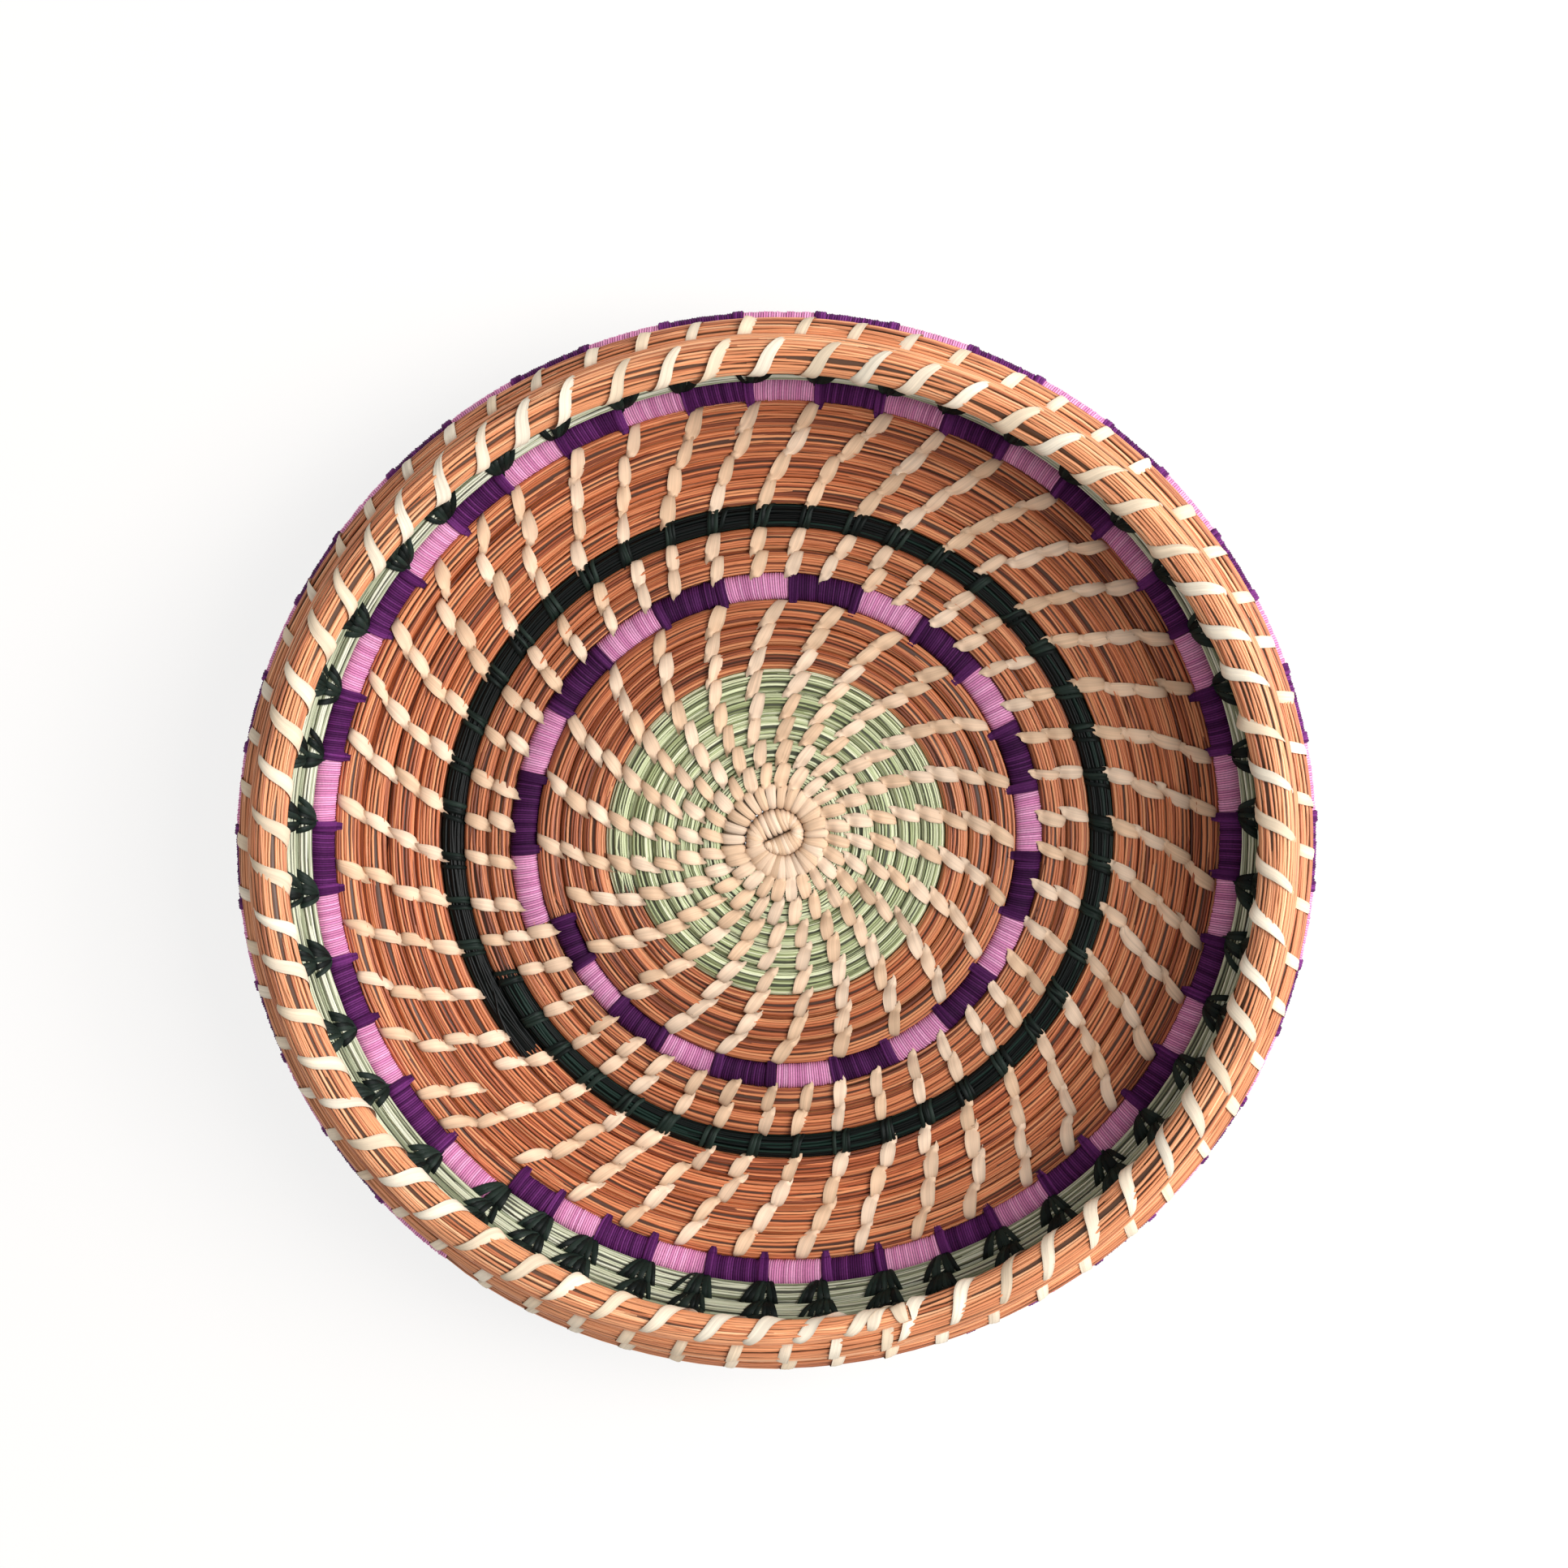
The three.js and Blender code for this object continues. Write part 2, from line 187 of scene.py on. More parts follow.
class Spiral:
    """The line that every bundle follows, with the bundle's size along it.

    A place on it is counted in turns from its start. Tables hold the distance from the axis, the height,
    the slope of the wall and the bundle's size at FINE places in each turn. The bundles are laid out with
    the gaps between the turns, and then widened until each turn touches the next.
    """

    def __init__(self) -> None:
        """Works out the tables from the zones."""
        stretches = [zone.value for zone in Zone]
        turns = np.array([stretch.turns for stretch in stretches])
        ends = np.cumsum(turns)
        self.spans = {zone: (end - turn, end) for zone, end, turn in zip(Zone, ends, turns)}
        self.end = float(ends[-1])
        self.grid = np.arange(math.ceil(self.end * FINE) + 1) / FINE
        self._starts = np.concatenate([[0.0], ends[:-1]])
        self._which = np.minimum(np.searchsorted(ends, self.grid, side="right"), len(stretches) - 1)
        gaps = np.array([stretch.gap for stretch in stretches])
        self.width = self._tapered(np.array([stretch.width for stretch in stretches]))
        self.thickness = self._tapered(np.array([stretch.thickness for stretch in stretches]))
        self.radius, self.height, self.slope = self._profile(self._reach(gaps))
        self.width = self.width + self._tapered(gaps)

    def _tapered(self, full: Array) -> Array:
        """One size of the bundle along the grid, eased from the stretch before it.

        Args:
            full: The full size in each stretch.

        Returns:
            The size at each place of the grid.
        """
        share = np.clip((self.grid - self._starts[self._which]) / TAPER_TURNS, 0.0, 1.0)
        size = full[np.maximum(self._which - 1, 0)] * (1.0 - share) + full[self._which] * share
        left = np.clip((self.end - self.grid) / END_TAPER_TURNS, 0.0, 1.0)
        return size * (END_SHARE + (1.0 - END_SHARE) * left)

    def _reach(self, gaps: Array) -> Array:
        """Distance along the wall from the axis: every turn lies one gap outside the turn before it.

        Args:
            gaps: The gap in each stretch.

        Returns:
            The distance at each place of the grid.
        """
        gap = gaps[self._which]
        first = Zone.WRAPPED.value.width
        reach = KNOT_RADIUS + COIL_GAP + first / 2 + (first + COIL_GAP) * self.grid
        for start in range(FINE, len(reach), FINE):
            here = slice(start, min(start + FINE, len(reach)))
            inside = slice(here.start - FINE, here.stop - FINE)
            reach[here] = reach[inside] + (self.width[inside] + self.width[here]) / 2 + gap[here]
        return reach

    def _profile(self, reach: Array) -> Array:
        """Radius, height and slope of the wall: one arc for each stretch, from a flat start.

        Args:
            reach: Distance along the wall at each place of the grid.

        Returns:
            The three tables, one in each row.
        """
        tables = np.empty((3, len(reach)))
        radius, height, slope = reach[0], Zone.WRAPPED.value.thickness / 2, 0.0
        for zone, span in self.spans.items():
            begin, finish = np.interp(span, self.grid, reach)
            curvature = math.radians(zone.value.bend) / (finish - begin)
            here = reach >= begin
            run = np.append(reach[here] - begin, finish - begin)
            turned = slope + curvature * run
            if curvature:
                radii = radius + (np.sin(turned) - math.sin(slope)) / curvature
                heights = height + (math.cos(slope) - np.cos(turned)) / curvature
            else:
                radii = radius + run * math.cos(slope)
                heights = height + run * math.sin(slope)
            tables[:, here] = np.stack([radii, heights, turned])[:, :-1]
            radius, height, slope = radii[-1], heights[-1], turned[-1]
        return tables

    def look_up(self, table: Array, turns: Array | float) -> Array:
        """A table's values at any places, which are given in turns."""
        return np.interp(turns, self.grid, table)

    def around(self, place: float) -> float:
        """Length of a full turn at one place."""
        return TAU * float(self.look_up(self.radius, place))

    def places(self, zone: Zone) -> Array:
        """Even places along a zone, as a column, with half as many in each turn as the tables have."""
        start, end = self.spans[zone]
        return np.linspace(start, end, math.ceil((end - start) * FINE / 2) + 1)[:, None]

    def points(self, turns: Array, u: Array, v: Array) -> Array:
        """Points of the bundle's section: u runs outwards along the wall and v through it to the inside.

        The section's plane stands on the spiral and is turned by the slope of the wall. The turns start
        round and grow longer along the long axis, with the square of the way along the spiral.

        Args:
            turns: Places along the spiral.
            u: Distance along the wall from the bundle's middle.
            v: Distance through the wall from the bundle's middle.

        Returns:
            Points in metres in the row frame, with a last axis of three.
        """
        slope = self.look_up(self.slope, turns)
        radius = self.look_up(self.radius, turns) + u * np.cos(slope) - v * np.sin(slope)
        height = self.look_up(self.height, turns) + u * np.sin(slope) + v * np.cos(slope)
        angle = math.radians(START_ANGLE) + TAU * np.asarray(turns) - LONG_AXIS
        oval = OVAL * (np.asarray(turns) / self.end) ** 2
        along = (radius + oval) * np.cos(angle)
        across = (radius - oval) * np.sin(angle)
        x = along * math.cos(LONG_AXIS) - across * math.sin(LONG_AXIS) + AXIS_PLACE[0]
        y = along * math.sin(LONG_AXIS) + across * math.cos(LONG_AXIS) + AXIS_PLACE[1]
        return joined(x, y, height) * MM

    def surface(self, turns: Array, angle: Array, lift: Array | float = 0.0) -> Array:
        """Points on a bundle's skin, a squarish oval of the bundle's size pushed out by a lift.

        Angle 0 faces outwards along the wall and a quarter turn faces the inside of the basket.

        Args:
            turns: Places along the spiral.
            angle: Angle round the bundle, in radians.
            lift: Distance above the skin.

        Returns:
            Points in metres, with a last axis of three.
        """
        outwards, inwards = squarish(angle, SQUARE)
        u = (self.look_up(self.width, turns) / 2 + lift) * outwards
        v = (self.look_up(self.thickness, turns) / 2 + lift) * inwards
        return self.points(turns, u, v)


SPIRAL = Spiral()


class Patchwork:
    """Collects grids of points and makes one mesh of them, with random numbers for their spread."""

    def __init__(self, seed: int) -> None:
        """Starts with no grids.

        Args:
            seed: Seed of the random numbers.
        """
        self.rng = np.random.default_rng(seed)
        self._points: list[Array] = []
        self._tints: list[Array] = []
        self._grain: list[Array] = []
        self._quads: list[Array] = []
        self._count = 0

    def add(self, points: Array, tint: Array, grain: Array | float = 0.0) -> None:
        """Adds grids whose outside lies along rows crossed with columns.

        Args:
            points: Points in metres, of shape (..., rows, columns, 3).
            tint: Linear colours that broadcast to the points.
            grain: Millimetres across and along the fibre, which broadcast to (..., rows, columns, 2).
        """
        rows, columns = points.shape[-3:-1]
        index = self._count + np.arange(points.size // 3).reshape(-1, rows, columns)
        corners = [index[:, :-1, :-1], index[:, 1:, :-1], index[:, 1:, 1:], index[:, :-1, 1:]]
        self._quads.append(np.stack(corners, axis=-1).reshape(-1, 4))
        self._points.append(points.reshape(-1, 3))
        self._tints.append(np.broadcast_to(tint, points.shape).reshape(-1, 3))
        self._grain.append(np.broadcast_to(grain, (*points.shape[:-1], 2)).reshape(-1, 2))
        self._count += points.size // 3

    def make(self, name: str, material: bpy.types.Material) -> bpy.types.Object:
        """Makes the object, with its tint as a colour attribute and its grain as a UV map.

        Args:
            name: Name of the object.
            material: Its material.

        Returns:
            The object, linked to the scene and riding on the root body.
        """
        points = np.concatenate(self._points).astype(np.float32)
        quads = np.concatenate(self._quads).astype(np.int32)
        mesh = bpy.data.meshes.new(name)
        mesh.vertices.add(len(points))
        mesh.vertices.foreach_set("co", points.ravel())
        mesh.loops.add(quads.size)
        mesh.loops.foreach_set("vertex_index", quads.ravel())
        mesh.polygons.add(len(quads))
        mesh.polygons.foreach_set("loop_start", np.arange(0, quads.size, 4, dtype=np.int32))
        mesh.update(calc_edges=True)
        mesh.polygons.foreach_set("use_smooth", np.ones(len(quads), dtype=bool))
        tints = np.concatenate(self._tints)
        rgba = np.concatenate([tints, np.ones((len(tints), 1))], axis=1).astype(np.float32)
        mesh.attributes.new("tint", "FLOAT_COLOR", "POINT").data.foreach_set("color", rgba.ravel())
        grain = np.concatenate(self._grain)[quads.ravel()].astype(np.float32)
        mesh.uv_layers.new(name="grain").uv.foreach_set("vector", grain.ravel())
        mesh.materials.append(material)
        mesh.update()
        piece = bpy.data.objects.new(name, mesh)
        bpy.context.scene.collection.objects.link(piece)
        LOG.info("%s: %d quads", name, len(quads))
        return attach(piece, "root")


class Shade:
    """A shader value that takes part in sums: it wraps one output socket of a graph."""

    def __init__(self, graph: "Graph", socket: bpy.types.NodeSocket | None) -> None:
        """Wraps an output socket of a graph, or none where a node has no output."""
        self.graph = graph
        self.socket = socket

    def _sum(self, operation: str, first: "Shade | float", second: "Shade | float") -> "Shade":
        """Result of a Math node, by Blender's name of the operation and its two values."""
        return self.graph.node("ShaderNodeMath", {0: first, 1: second}, operation=operation)

    def __add__(self, other: "Shade | float") -> "Shade":
        """This value and another."""
        return self._sum("ADD", self, other)

    def __sub__(self, other: "Shade | float") -> "Shade":
        """This value less another."""
        return self._sum("SUBTRACT", self, other)

    def __rsub__(self, other: float) -> "Shade":
        """A number less this value."""
        return self._sum("SUBTRACT", other, self)

    def __mul__(self, other: "Shade | float") -> "Shade":
        """This value times another."""
        return self._sum("MULTIPLY", self, other)

    __radd__ = __add__
    __rmul__ = __mul__

    def scaled(self, factor: "Shade") -> "Shade":
        """This colour times a value."""
        return self.graph.node("ShaderNodeVectorMath", {0: self, "Scale": factor}, operation="SCALE")


class Graph:
    """Builds the nodes of one material."""

    def __init__(self, name: str) -> None:
        """Starts an empty material.

        Args:
            name: Name of the material.
        """
        self.material = bpy.data.materials.new(name)
        self.material.use_nodes = True
        self.tree = self.material.node_tree
        self.tree.nodes.clear()

    def node(self, kind: str, inputs: dict, output: int | str = 0, **settings: object) -> Shade:
        """Makes one node.

        Args:
            kind: Blender's type name of the node.
            inputs: Value or Shade for each input, by name or number.
            output: The output to hand back, by name or number.
            **settings: Properties of the node.

        Returns:
            The chosen output.
        """
        made = self.tree.nodes.new(kind)
        for key, value in settings.items():
            setattr(made, key, value)
        for key, value in inputs.items():
            if isinstance(value, Shade):
                self.tree.links.new(value.socket, made.inputs[key])
            else:
                made.inputs[key].default_value = value
        return Shade(self, made.outputs[output] if made.outputs else None)


@dataclass(frozen=True)
class Finish:
    """A surface of long fibres, whose colour comes from the mesh's tint.

    Attributes:
        name: Name of its material.
        slot: The record's material slot; not used.
        contrast: How far the streaks lighten and darken the tint.
        roughness: Roughness of the light and of the dark streaks.
        across: Streaks in each millimetre across the fibre.
        along: Streaks in each millimetre along the fibre.
        relief: Height of the streaks.
        coat: Weight of the clear coat.
        specular: Strength of the plain highlights.
    """

    name: str
    slot: str
    contrast: float
    roughness: tuple[float, float]
    across: float = 1.6
    along: float = 0.05
    relief: float = 0.03
    coat: float = 0.0
    specular: float = 0.3

    def material(self) -> bpy.types.Material:
        """Makes the material: tint times streaks, with roughness and bump from the same streaks.

        Returns:
            The material, made once for each finish.
        """
        if self.name in bpy.data.materials:
            return bpy.data.materials[self.name]
        graph = Graph(self.name)
        grain = graph.node("ShaderNodeUVMap", {}, uv_map="grain")
        stretched = graph.node(
            "ShaderNodeVectorMath", {0: grain, 1: (self.across, self.along, 0.0)}, operation="MULTIPLY"
        )
        streak = graph.node(
            "ShaderNodeTexNoise",
            {"Vector": stretched, "Scale": 1.0, "Detail": STREAK_DETAIL, "Roughness": STREAK_ROUGHNESS},
        )
        patch = graph.node(
            "ShaderNodeTexNoise",
            {
                "Vector": graph.node("ShaderNodeTexCoord", {}, "Object"),
                "Scale": PATCH_SCALE,
                "Detail": PATCH_DETAIL,
            },
        )
        tint = graph.node("ShaderNodeAttribute", {}, "Color", attribute_name="tint")
        level = 1.0 - (0.5 - streak) * (2.0 * self.contrast) + (patch - 0.5) * PATCH_CONTRAST
        low, high = self.roughness
        bump = graph.node(
            "ShaderNodeBump",
            {"Height": streak, "Distance": self.relief * MM, "Strength": BUMP_STRENGTH},
            "Normal",
        )
        shader = graph.node(
            "ShaderNodeBsdfPrincipled",
            {
                "Base Color": tint.scaled(level),
                "Roughness": high + streak * (low - high),
                "Normal": bump,
                "Coat Weight": self.coat,
                "Coat Roughness": COAT_ROUGHNESS,
                "Specular IOR Level": self.specular,
            },
        )
        graph.node("ShaderNodeOutputMaterial", {"Surface": shader})
        return graph.material


BROWN = Finish("brown_needle", "brown_needles", 0.26, (0.38, 0.6), coat=0.06, specular=0.45)
SAGE = Finish("sage_needle", "sage_needles", 0.26, (0.4, 0.62), coat=0.05)
PALE_SAGE = Finish("pale_sage_needle", "pale_sage_needles", 0.22, (0.4, 0.62), coat=0.05)
DARK_GREEN = Finish("dark_green_needle", "dark_green_needles", 0.3, (0.35, 0.55), specular=0.2)
DARK_RAFFIA = Finish("dark_raffia", "dark_green_needles", 0.55, (0.4, 0.6), 2.4, 0.08, 0.08, specular=0.12)
RAFFIA = Finish("raffia_fibre", "raffia", 0.25, (0.5, 0.7), 2.6, 0.07, 0.09, specular=0.2)
PURPLE = Finish("purple_winding", "purple_thread", 0.35, (0.55, 0.8), 0.7, 2.2, 0.05, specular=0.08)
PINK = Finish("pink_winding", "pink_thread", 0.22, (0.55, 0.8), 0.7, 2.2, 0.05, specular=0.08)

BROWNS = palette(
    (214, 132, 86), (200, 116, 72), (188, 104, 62), (224, 148, 100), (164, 84, 48), (208, 124, 80),
    (124, 62, 36),
)
# Painted light: darker copies of the browns for the floor's shade and lighter ones for the lit slope.
FLOOR_PAINTED_SHADE_BROWNS = BROWNS * 0.9
SLOPE_PAINTED_LIGHT_BROWNS = BROWNS * 1.13
# Painted light: lighter browns for the rim, where more light falls.
RIM_PAINTED_LIGHT_BROWNS = palette(
    (240, 166, 118), (230, 152, 104), (220, 140, 94), (247, 184, 138), (190, 112, 72), (234, 158, 110)
)
SAGES = 1.1 * palette(
    (194, 200, 158), (176, 184, 138), (212, 216, 178), (152, 160, 114), (222, 224, 190), (202, 206, 166),
    (116, 122, 84),
)
PALE_SAGES = palette(
    (218, 221, 194), (204, 208, 178), (230, 232, 210), (180, 186, 154), (138, 144, 114)
)
TEALS = palette((9, 28, 23), (5, 15, 13), (18, 40, 33), (3, 8, 7))
BLACKS = palette((5, 8, 7), (2, 4, 4), (13, 18, 16))
RAFFIAS = palette((232, 200, 170), (225, 190, 157), (237, 209, 182))
# Painted light: paler raffia for the rim's wraps and ticks, where more light falls.
RIM_PAINTED_LIGHT_RAFFIAS = palette((236, 219, 195), (231, 210, 182), (239, 226, 205))
FERNS = palette((23, 34, 29), (14, 21, 19), (34, 46, 40))
PURPLES = palette((72, 26, 75), (60, 19, 63), (87, 36, 90))
PINKS = palette((222, 147, 189), (211, 132, 178), (231, 161, 201))


@dataclass(frozen=True)
class NeedleLay:
    """How needles are shaped and laid in every bundle.

    Attributes:
        spacing: Distance between needles round the bundle, in radii.
        jitter: How far a needle lies from its even place, in spacings.
        lead: How far before the zone its first needles may start.
        overlap: How far a needle runs past the start of the next.
        shortest: Length up to which the rest of a needle is left out.
        frays: Least and greatest share of the bundle's fray.
        drift: Spread of the angle that a needle gains from end to end, in radians.
        stray_drift: The same for needles that cross over the others.
        stray_rise: How far those rise in their middle.
        stray_kept: Share of those that is kept.
        step_share: Step along a needle, as a share of the spiral's radius.
        steps: Shortest and longest step.
        half_round: Half of the round that is drawn, in radians.
        sides: Points across that round.
        radii: Least and greatest share of the bundle's needle radius.
        tip: Share of the radius that is left at the tips.
        tip_length: Length along which the radius would grow by its full size.
        tip_sink: How far a needle would sink where it has no radius.
        painted_tip_shade: Brightness that it would have there, painted shade where the tip sinks among the
            other needles.
        wave: How far a needle swings to each side, in radians round the bundle.
        waves: Least and greatest number of swings.
        lift: Spread of the needles' heights.
        tones: Least and greatest brightness.
        painted_edge_shade: Brightness that is lost at the edges of the round, painted shade in the crevices
            between needles.
        edge_power: How much of that is lost close to the edges.
        grain_across: Grain for each radian across a needle.
        grain_spread: How far apart the grain of two needles can lie.
        core_depth: How deep the core lies, in radii.
        painted_core_shade: Brightness of the core, painted shade seen between the needles.
        web: Half the width of the web between two turns, a dark ribbon of painted shade.
    """

    spacing: float = 1.7
    jitter: float = 0.25
    lead: float = 100.0
    overlap: float = 10.0
    shortest: float = 6.0
    frays: tuple[float, float] = (-0.2, 1.0)
    drift: float = 0.14
    stray_drift: float = 0.5
    stray_rise: float = 0.35
    stray_kept: float = 0.55
    step_share: float = 0.06
    steps: tuple[float, float] = (2.5, 6.5)
    half_round: float = 1.9
    sides: int = 5
    radii: tuple[float, float] = (0.85, 1.15)
    tip: float = 0.35
    tip_length: float = 9.0
    tip_sink: float = 0.4
    painted_tip_shade: float = 0.72
    wave: float = 0.09
    waves: tuple[float, float] = (0.6, 2.2)
    lift: float = 0.1
    tones: tuple[float, float] = (0.9, 1.1)
    painted_edge_shade: float = 0.75
    edge_power: float = 1.3
    grain_across: float = 0.5
    grain_spread: float = 400.0
    core_depth: float = 1.2
    painted_core_shade: float = 0.12
    web: float = 0.8


@dataclass(frozen=True)
class NeedleCoil:
    """A bundle of long needles laid along one zone of the spiral, over a dark core of painted shade.

    Attributes:
        zone: The zone that it fills.
        node: The CAD node that it stands for.
        finish: The needles' surface.
        first: The needles' colours.
        last: Their colours towards the end of the zone, where they change.
        inset: How far the bundle lies inside the CAD bundle.
        needle: Radius of a needle.
        fray: How far the longest needles run past the ends of the zone.
        lengths: Shortest and longest needle.
        strays: Share of needles that cross over the others.
        seed: Seed of its own random numbers.
        lay: How its needles are shaped and laid.
    """

    zone: Zone
    node: str
    finish: Finish
    first: Array
    last: Array | None = None
    inset: float = 0.0
    needle: float = 0.4
    fray: float = 2.5
    lengths: tuple[float, float] = (90.0, 190.0)
    strays: float = 0.22
    seed: int = 1
    lay: NeedleLay = NeedleLay()

    def build(self) -> bpy.types.Object:
        """Lays the needles and makes the piece.

        Returns:
            The piece, standing for its CAD node.
        """
        start, end = SPIRAL.spans[self.zone]
        patchwork = Patchwork(self.seed)
        self._core(patchwork)
        middle = (start + end) / 2
        width = SPIRAL.look_up(SPIRAL.width, middle) - 2 * self.inset
        thickness = SPIRAL.look_up(SPIRAL.thickness, middle) - 2 * self.inset
        strands = round(math.pi * (width + thickness) / 2 / (self.lay.spacing * self.needle))
        for strand in range(strands):
            angle = TAU * (strand + patchwork.rng.uniform(-self.lay.jitter, self.lay.jitter)) / strands
            self._strand(patchwork, angle, stray=False)
        for _ in range(round(strands * self.strays)):
            self._strand(patchwork, patchwork.rng.uniform(0.0, TAU), stray=True)
        piece = patchwork.make(self.node + "_needles", self.finish.material())
        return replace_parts(piece, self.node)

    def _core(self, patchwork: Patchwork) -> None:
        """Adds a dark tube, painted shade that shows between the needles, and a dark web across to the turn
        inside, painted shade in the gap between the turns.

        The tube is the bundle's outline drawn in all round. The web is a ribbon in the middle of the wall.

        Args:
            patchwork: Where they go.
        """
        turns = SPIRAL.places(self.zone)
        # Painted shade: the needles' colour darkened nearly to black, for the core and the web.
        tint = self.first.mean(axis=0) * self.lay.painted_core_shade
        patchwork.add(SPIRAL.surface(turns, ROUND, -self.inset - self.lay.core_depth * self.needle), tint)
        reach = -SPIRAL.look_up(SPIRAL.width, turns) / 2 + np.array([self.lay.web, -self.lay.web])
        patchwork.add(SPIRAL.points(turns, reach, np.zeros(2)), tint)

    def _strand(self, patchwork: Patchwork, angle: float, stray: bool) -> None:
        """Adds needles end over end along the zone, at one place round the bundle.

        Args:
            patchwork: Where the needles go.
            angle: Angle round the bundle, in radians.
            stray: Whether the needles cross over the others.
        """
        lay, rng = self.lay, patchwork.rng
        spread, rise = (lay.stray_drift, lay.stray_rise) if stray else (lay.drift, 0.0)
        start, end = SPIRAL.spans[self.zone]
        place = start - rng.uniform(0.0, lay.lead) / SPIRAL.around(start)
        while place < end:
            around = SPIRAL.around(place)
            finish = place + rng.uniform(*self.lengths) / around
            short, long = rng.uniform(*lay.frays, 2) * self.fray / around
            low, high = max(place, start - short), min(finish, end + long)
            drift = rng.normal(0.0, spread)
            if (high - low) * around > lay.shortest and (not stray or rng.random() < lay.stray_kept):
                self._needle(patchwork, (low, high), angle, drift, rise)
            place = finish - lay.overlap / around

    def _needle(
        self, patchwork: Patchwork, span: tuple[float, float], angle: float, drift: float, rise: float
    ) -> None:
        """Adds one needle: the upper part of a round tube that follows the bundle and narrows at its tips.

        Its middle line is the bundle's oval at an angle that drifts and waves slowly along the needle.

        Args:
            patchwork: Where the needle goes.
            span: Its two ends, in turns.
            angle: Angle round the bundle, in radians.
            drift: How far the angle changes from end to end.
            rise: How far it lies above the others.
        """
        lay, rng = self.lay, patchwork.rng
        low, high = span
        bend = float(SPIRAL.look_up(SPIRAL.radius, low))
        length = (high - low) * TAU * bend
        step = np.clip(lay.step_share * bend, *lay.steps)
        turns = np.linspace(low, high, math.ceil(length / step) + 1)
        share = (turns - low) / (high - low)
        from_tip = np.minimum(share, 1.0 - share) * length
        slender = np.clip(lay.tip + from_tip / lay.tip_length, lay.tip, 1.0)
        radius = self.needle * rng.uniform(*lay.radii) * slender
        wave = lay.wave * np.sin(TAU * (share * rng.uniform(*lay.waves) + rng.random()))
        round_bundle = angle + drift * (share - 0.5) + wave
        lift = rise * np.sin(math.pi * share) + rng.normal(0.0, lay.lift) - lay.tip_sink * (1.0 - slender)
        half_width = SPIRAL.look_up(SPIRAL.width, turns) / 2 - self.inset
        half_depth = SPIRAL.look_up(SPIRAL.thickness, turns) / 2 - self.inset
        outwards, inwards = squarish(round_bundle, SQUARE)
        lean, face = squarish(round_bundle, 2.0 - SQUARE)
        sides = np.linspace(-lay.half_round, lay.half_round, lay.sides)
        direction = np.arctan2(face * half_width, lean * half_depth)[:, None] + sides
        line_u = (half_width - radius + lift) * outwards
        line_v = (half_depth - radius + lift) * inwards
        u = line_u[:, None] + radius[:, None] * np.cos(direction)
        v = line_v[:, None] + radius[:, None] * np.sin(direction)
        start, end = SPIRAL.spans[self.zone]
        late = rng.random() < (low - start) / (end - start)
        colours = self.last if late and self.last is not None else self.first
        colour = colours[rng.integers(len(colours))] * rng.uniform(*lay.tones)
        # Painted shade: each needle darkens towards its sides, where it meets its neighbours.
        depth = 1.0 - lay.painted_edge_shade * (np.abs(sides) / lay.half_round) ** lay.edge_power
        # Painted shade: needles darken towards their tips, which sink among the others.
        tone = lay.painted_tip_shade + (1.0 - lay.painted_tip_shade) * slender
        offset = rng.uniform(0.0, lay.grain_spread, 2)
        grain = joined(sides * lay.grain_across + offset[0], (share * length)[:, None] + offset[1])
        tint = colour * (depth[:, None] * tone[:, None, None])
        patchwork.add(SPIRAL.points(turns[:, None], u, v), tint, grain)


def smooth_weights(controls: int, share: Array) -> Array:
    """Weights of a smooth line through control points.

    Between two points the line is the cubic whose ends run parallel to their neighbours' chords.

    Args:
        controls: Number of control points.
        share: Places along the line, from 0 to 1.

    Returns:
        Weights in the shape of the places, with a last axis of controls.
    """
    place = share * (controls - 1.0)
    segment = np.minimum(place.astype(int), controls - 2)
    f = place - segment
    cubics = (
        2 * f**2 - f - f**3,
        2 - 5 * f**2 + 3 * f**3,
        f + 4 * f**2 - 3 * f**3,
        f**3 - f**2,
    )
    weights = np.zeros((*share.shape, controls))
    for offset, cubic in enumerate(cubics):
        nearest = np.clip(segment + offset - 1, 0, controls - 1)
        weights += (cubic / 2)[..., None] * (nearest[..., None] == np.arange(controls))
    return weights


